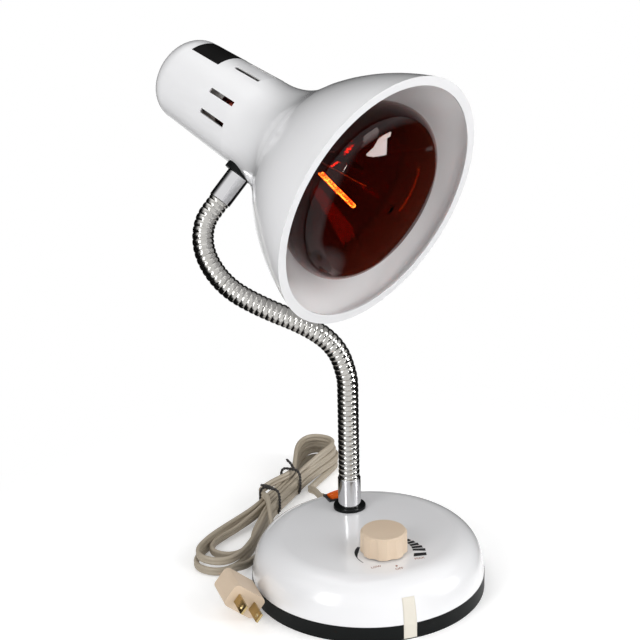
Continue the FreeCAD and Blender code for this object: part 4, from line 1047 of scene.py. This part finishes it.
def wordMesh(word, angle, radius, tall):
    data = bpy.data.curves.new(word, "FONT")
    data.body, data.size, data.resolution_u = word, tall * mm, dial["letterSteps"]
    data.align_x, data.align_y, data.extrude = "CENTER", "CENTER", dial["rise"] * mm
    mesh = takeMesh(addObject(word, data))
    middle = onDome(radius, angle, 0)
    for vertex in mesh.vertices:
        x, y, z = vertex.co
        vertex.co = dropOnDome(middle.x + x, middle.y + y) + Vector((0, 0, z))
    return mesh


def dotTile():
    dot = dial["dot"]
    middle = levelWay(math.radians(dot["angle"])) * dot["radius"]
    corners = []
    for k in range(dot["sides"]):
        spot = middle + levelWay(k * math.tau / dot["sides"]) * dot["size"]
        corners.append((spot.length, math.degrees(math.atan2(spot.y, spot.x))))
    return inkPatch(corners)


def makeDialPrint():
    prints = crescentTiles() + barTiles()
    words = [dotTile()] + [wordMesh(*word) for word in dial["words"]]
    for name, meshes, ink in (("dial_print", prints, printInk), ("dial_words", words, wordInk)):
        piece = addObject(name, finishMesh(joinMeshes(name, meshes), ink, False))
        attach(piece, "base")


makeDialPrint()


undersideShare = 0.2  # how far a sheet's underside stands off what carries it, as a share of its top


def skinOver(name, rows, lift, material):  # a thin closed sheet over a grid of (point, outward way)
    wide, points, faces = len(rows[0]), [], []
    for level in (lift, undersideShare * lift):
        points += [spot + way * level for row in rows for spot, way in row]
    lower = len(rows) * wide
    for r in range(len(rows) - 1):
        for c in range(wide - 1):
            k = r * wide + c
            faces.append((k, k + 1, k + wide + 1, k + wide))
            faces.append((lower + k, lower + k + wide, lower + k + wide + 1, lower + k + 1))
    rim = [*range(wide), *range(2 * wide - 1, lower, wide)]
    rim += [*range(lower - 2, lower - wide - 1, -1), *range(lower - 2 * wide, 0, -wide)]
    for a, b in zip(rim, rim[1:] + rim[:1]):
        faces.append((a, b, lower + b, lower + a))
    mesh = bpy.data.meshes.new(name)
    mesh.from_pydata(points, [], faces)
    return addObject(name, finishMesh(mesh, material))


foil = {
    "from": 159,  # degrees round the neck, from its lowest line
    "to": 243,
    "front": -152,  # along the axis from the shade's mouth
    "back": -179,
    "lift": 0.12,
    "across": 40,
    "along": 14,
    "castFrom": 60,  # how far out the rays start that fall on the neck
}


def makeFoil():  # a bare black foil where the neck would carry its rating
    out = Vector(bulb["faces"])
    side = out.cross(Vector((0, 0, 1))).normalized()
    down = out.cross(side)
    rows = []
    for r in range(foil["along"] + 1):
        station = blendOf((foil["front"], foil["back"]), r / foil["along"])
        middle = Vector(bulb["rimCentre"]) + out * station * mm
        row = []
        for c in range(foil["across"] + 1):
            angle = math.radians(blendOf((foil["from"], foil["to"]), c / foil["across"]))
            way = down * math.cos(angle) + side * math.sin(angle)
            row.append((bell.ray_cast(middle + way * foil["castFrom"] * mm, -way)[0], way))
        rows.append(row)
    piece = skinOver("neck_foil", rows, foil["lift"] * mm, labelBlack)
    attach(piece, "head")


paper = {
    "azimuth": -89.8,
    "half": 3.25,  # degrees to each side
    "low": 0.8,
    "high": 28.6,
    "lift": 0.2,
    "across": 8,
    "along": 44,
    "castFrom": 120,  # how far out the rays start that fall on the flank
}


def makePaper():  # a bare paper strip down the front flank, over the rubber rim
    rows = []
    for r in range(paper["along"] + 1):
        high = blendOf((paper["low"], paper["high"]), r / paper["along"])
        row = []
        for c in range(paper["across"] + 1):
            way = levelWay(math.radians(paper["azimuth"] + paper["half"] * (2 * c / paper["across"] - 1)))
            start = way * paper["castFrom"] + Vector((0, 0, high))
            row.append((flank.ray_cast(start * mm, -way)[0], way))
        rows.append(row)
    for c in range(paper["across"] + 1):  # the strip bridges the small step between rim and shell
        for r in range(1, paper["along"]):
            spot, way = rows[r][c]
            reach = max(spot.xy.length, (rows[r - 1][c][0].xy.length + rows[r + 1][c][0].xy.length) / 2)
            rows[r][c] = (Vector((way.x * reach, way.y * reach, spot.z)), way)
    piece = skinOver("flank_paper", rows, paper["lift"] * mm, labelPaper)
    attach(piece, "base")


makeFoil()
makePaper()
print("print, foil and paper laid")
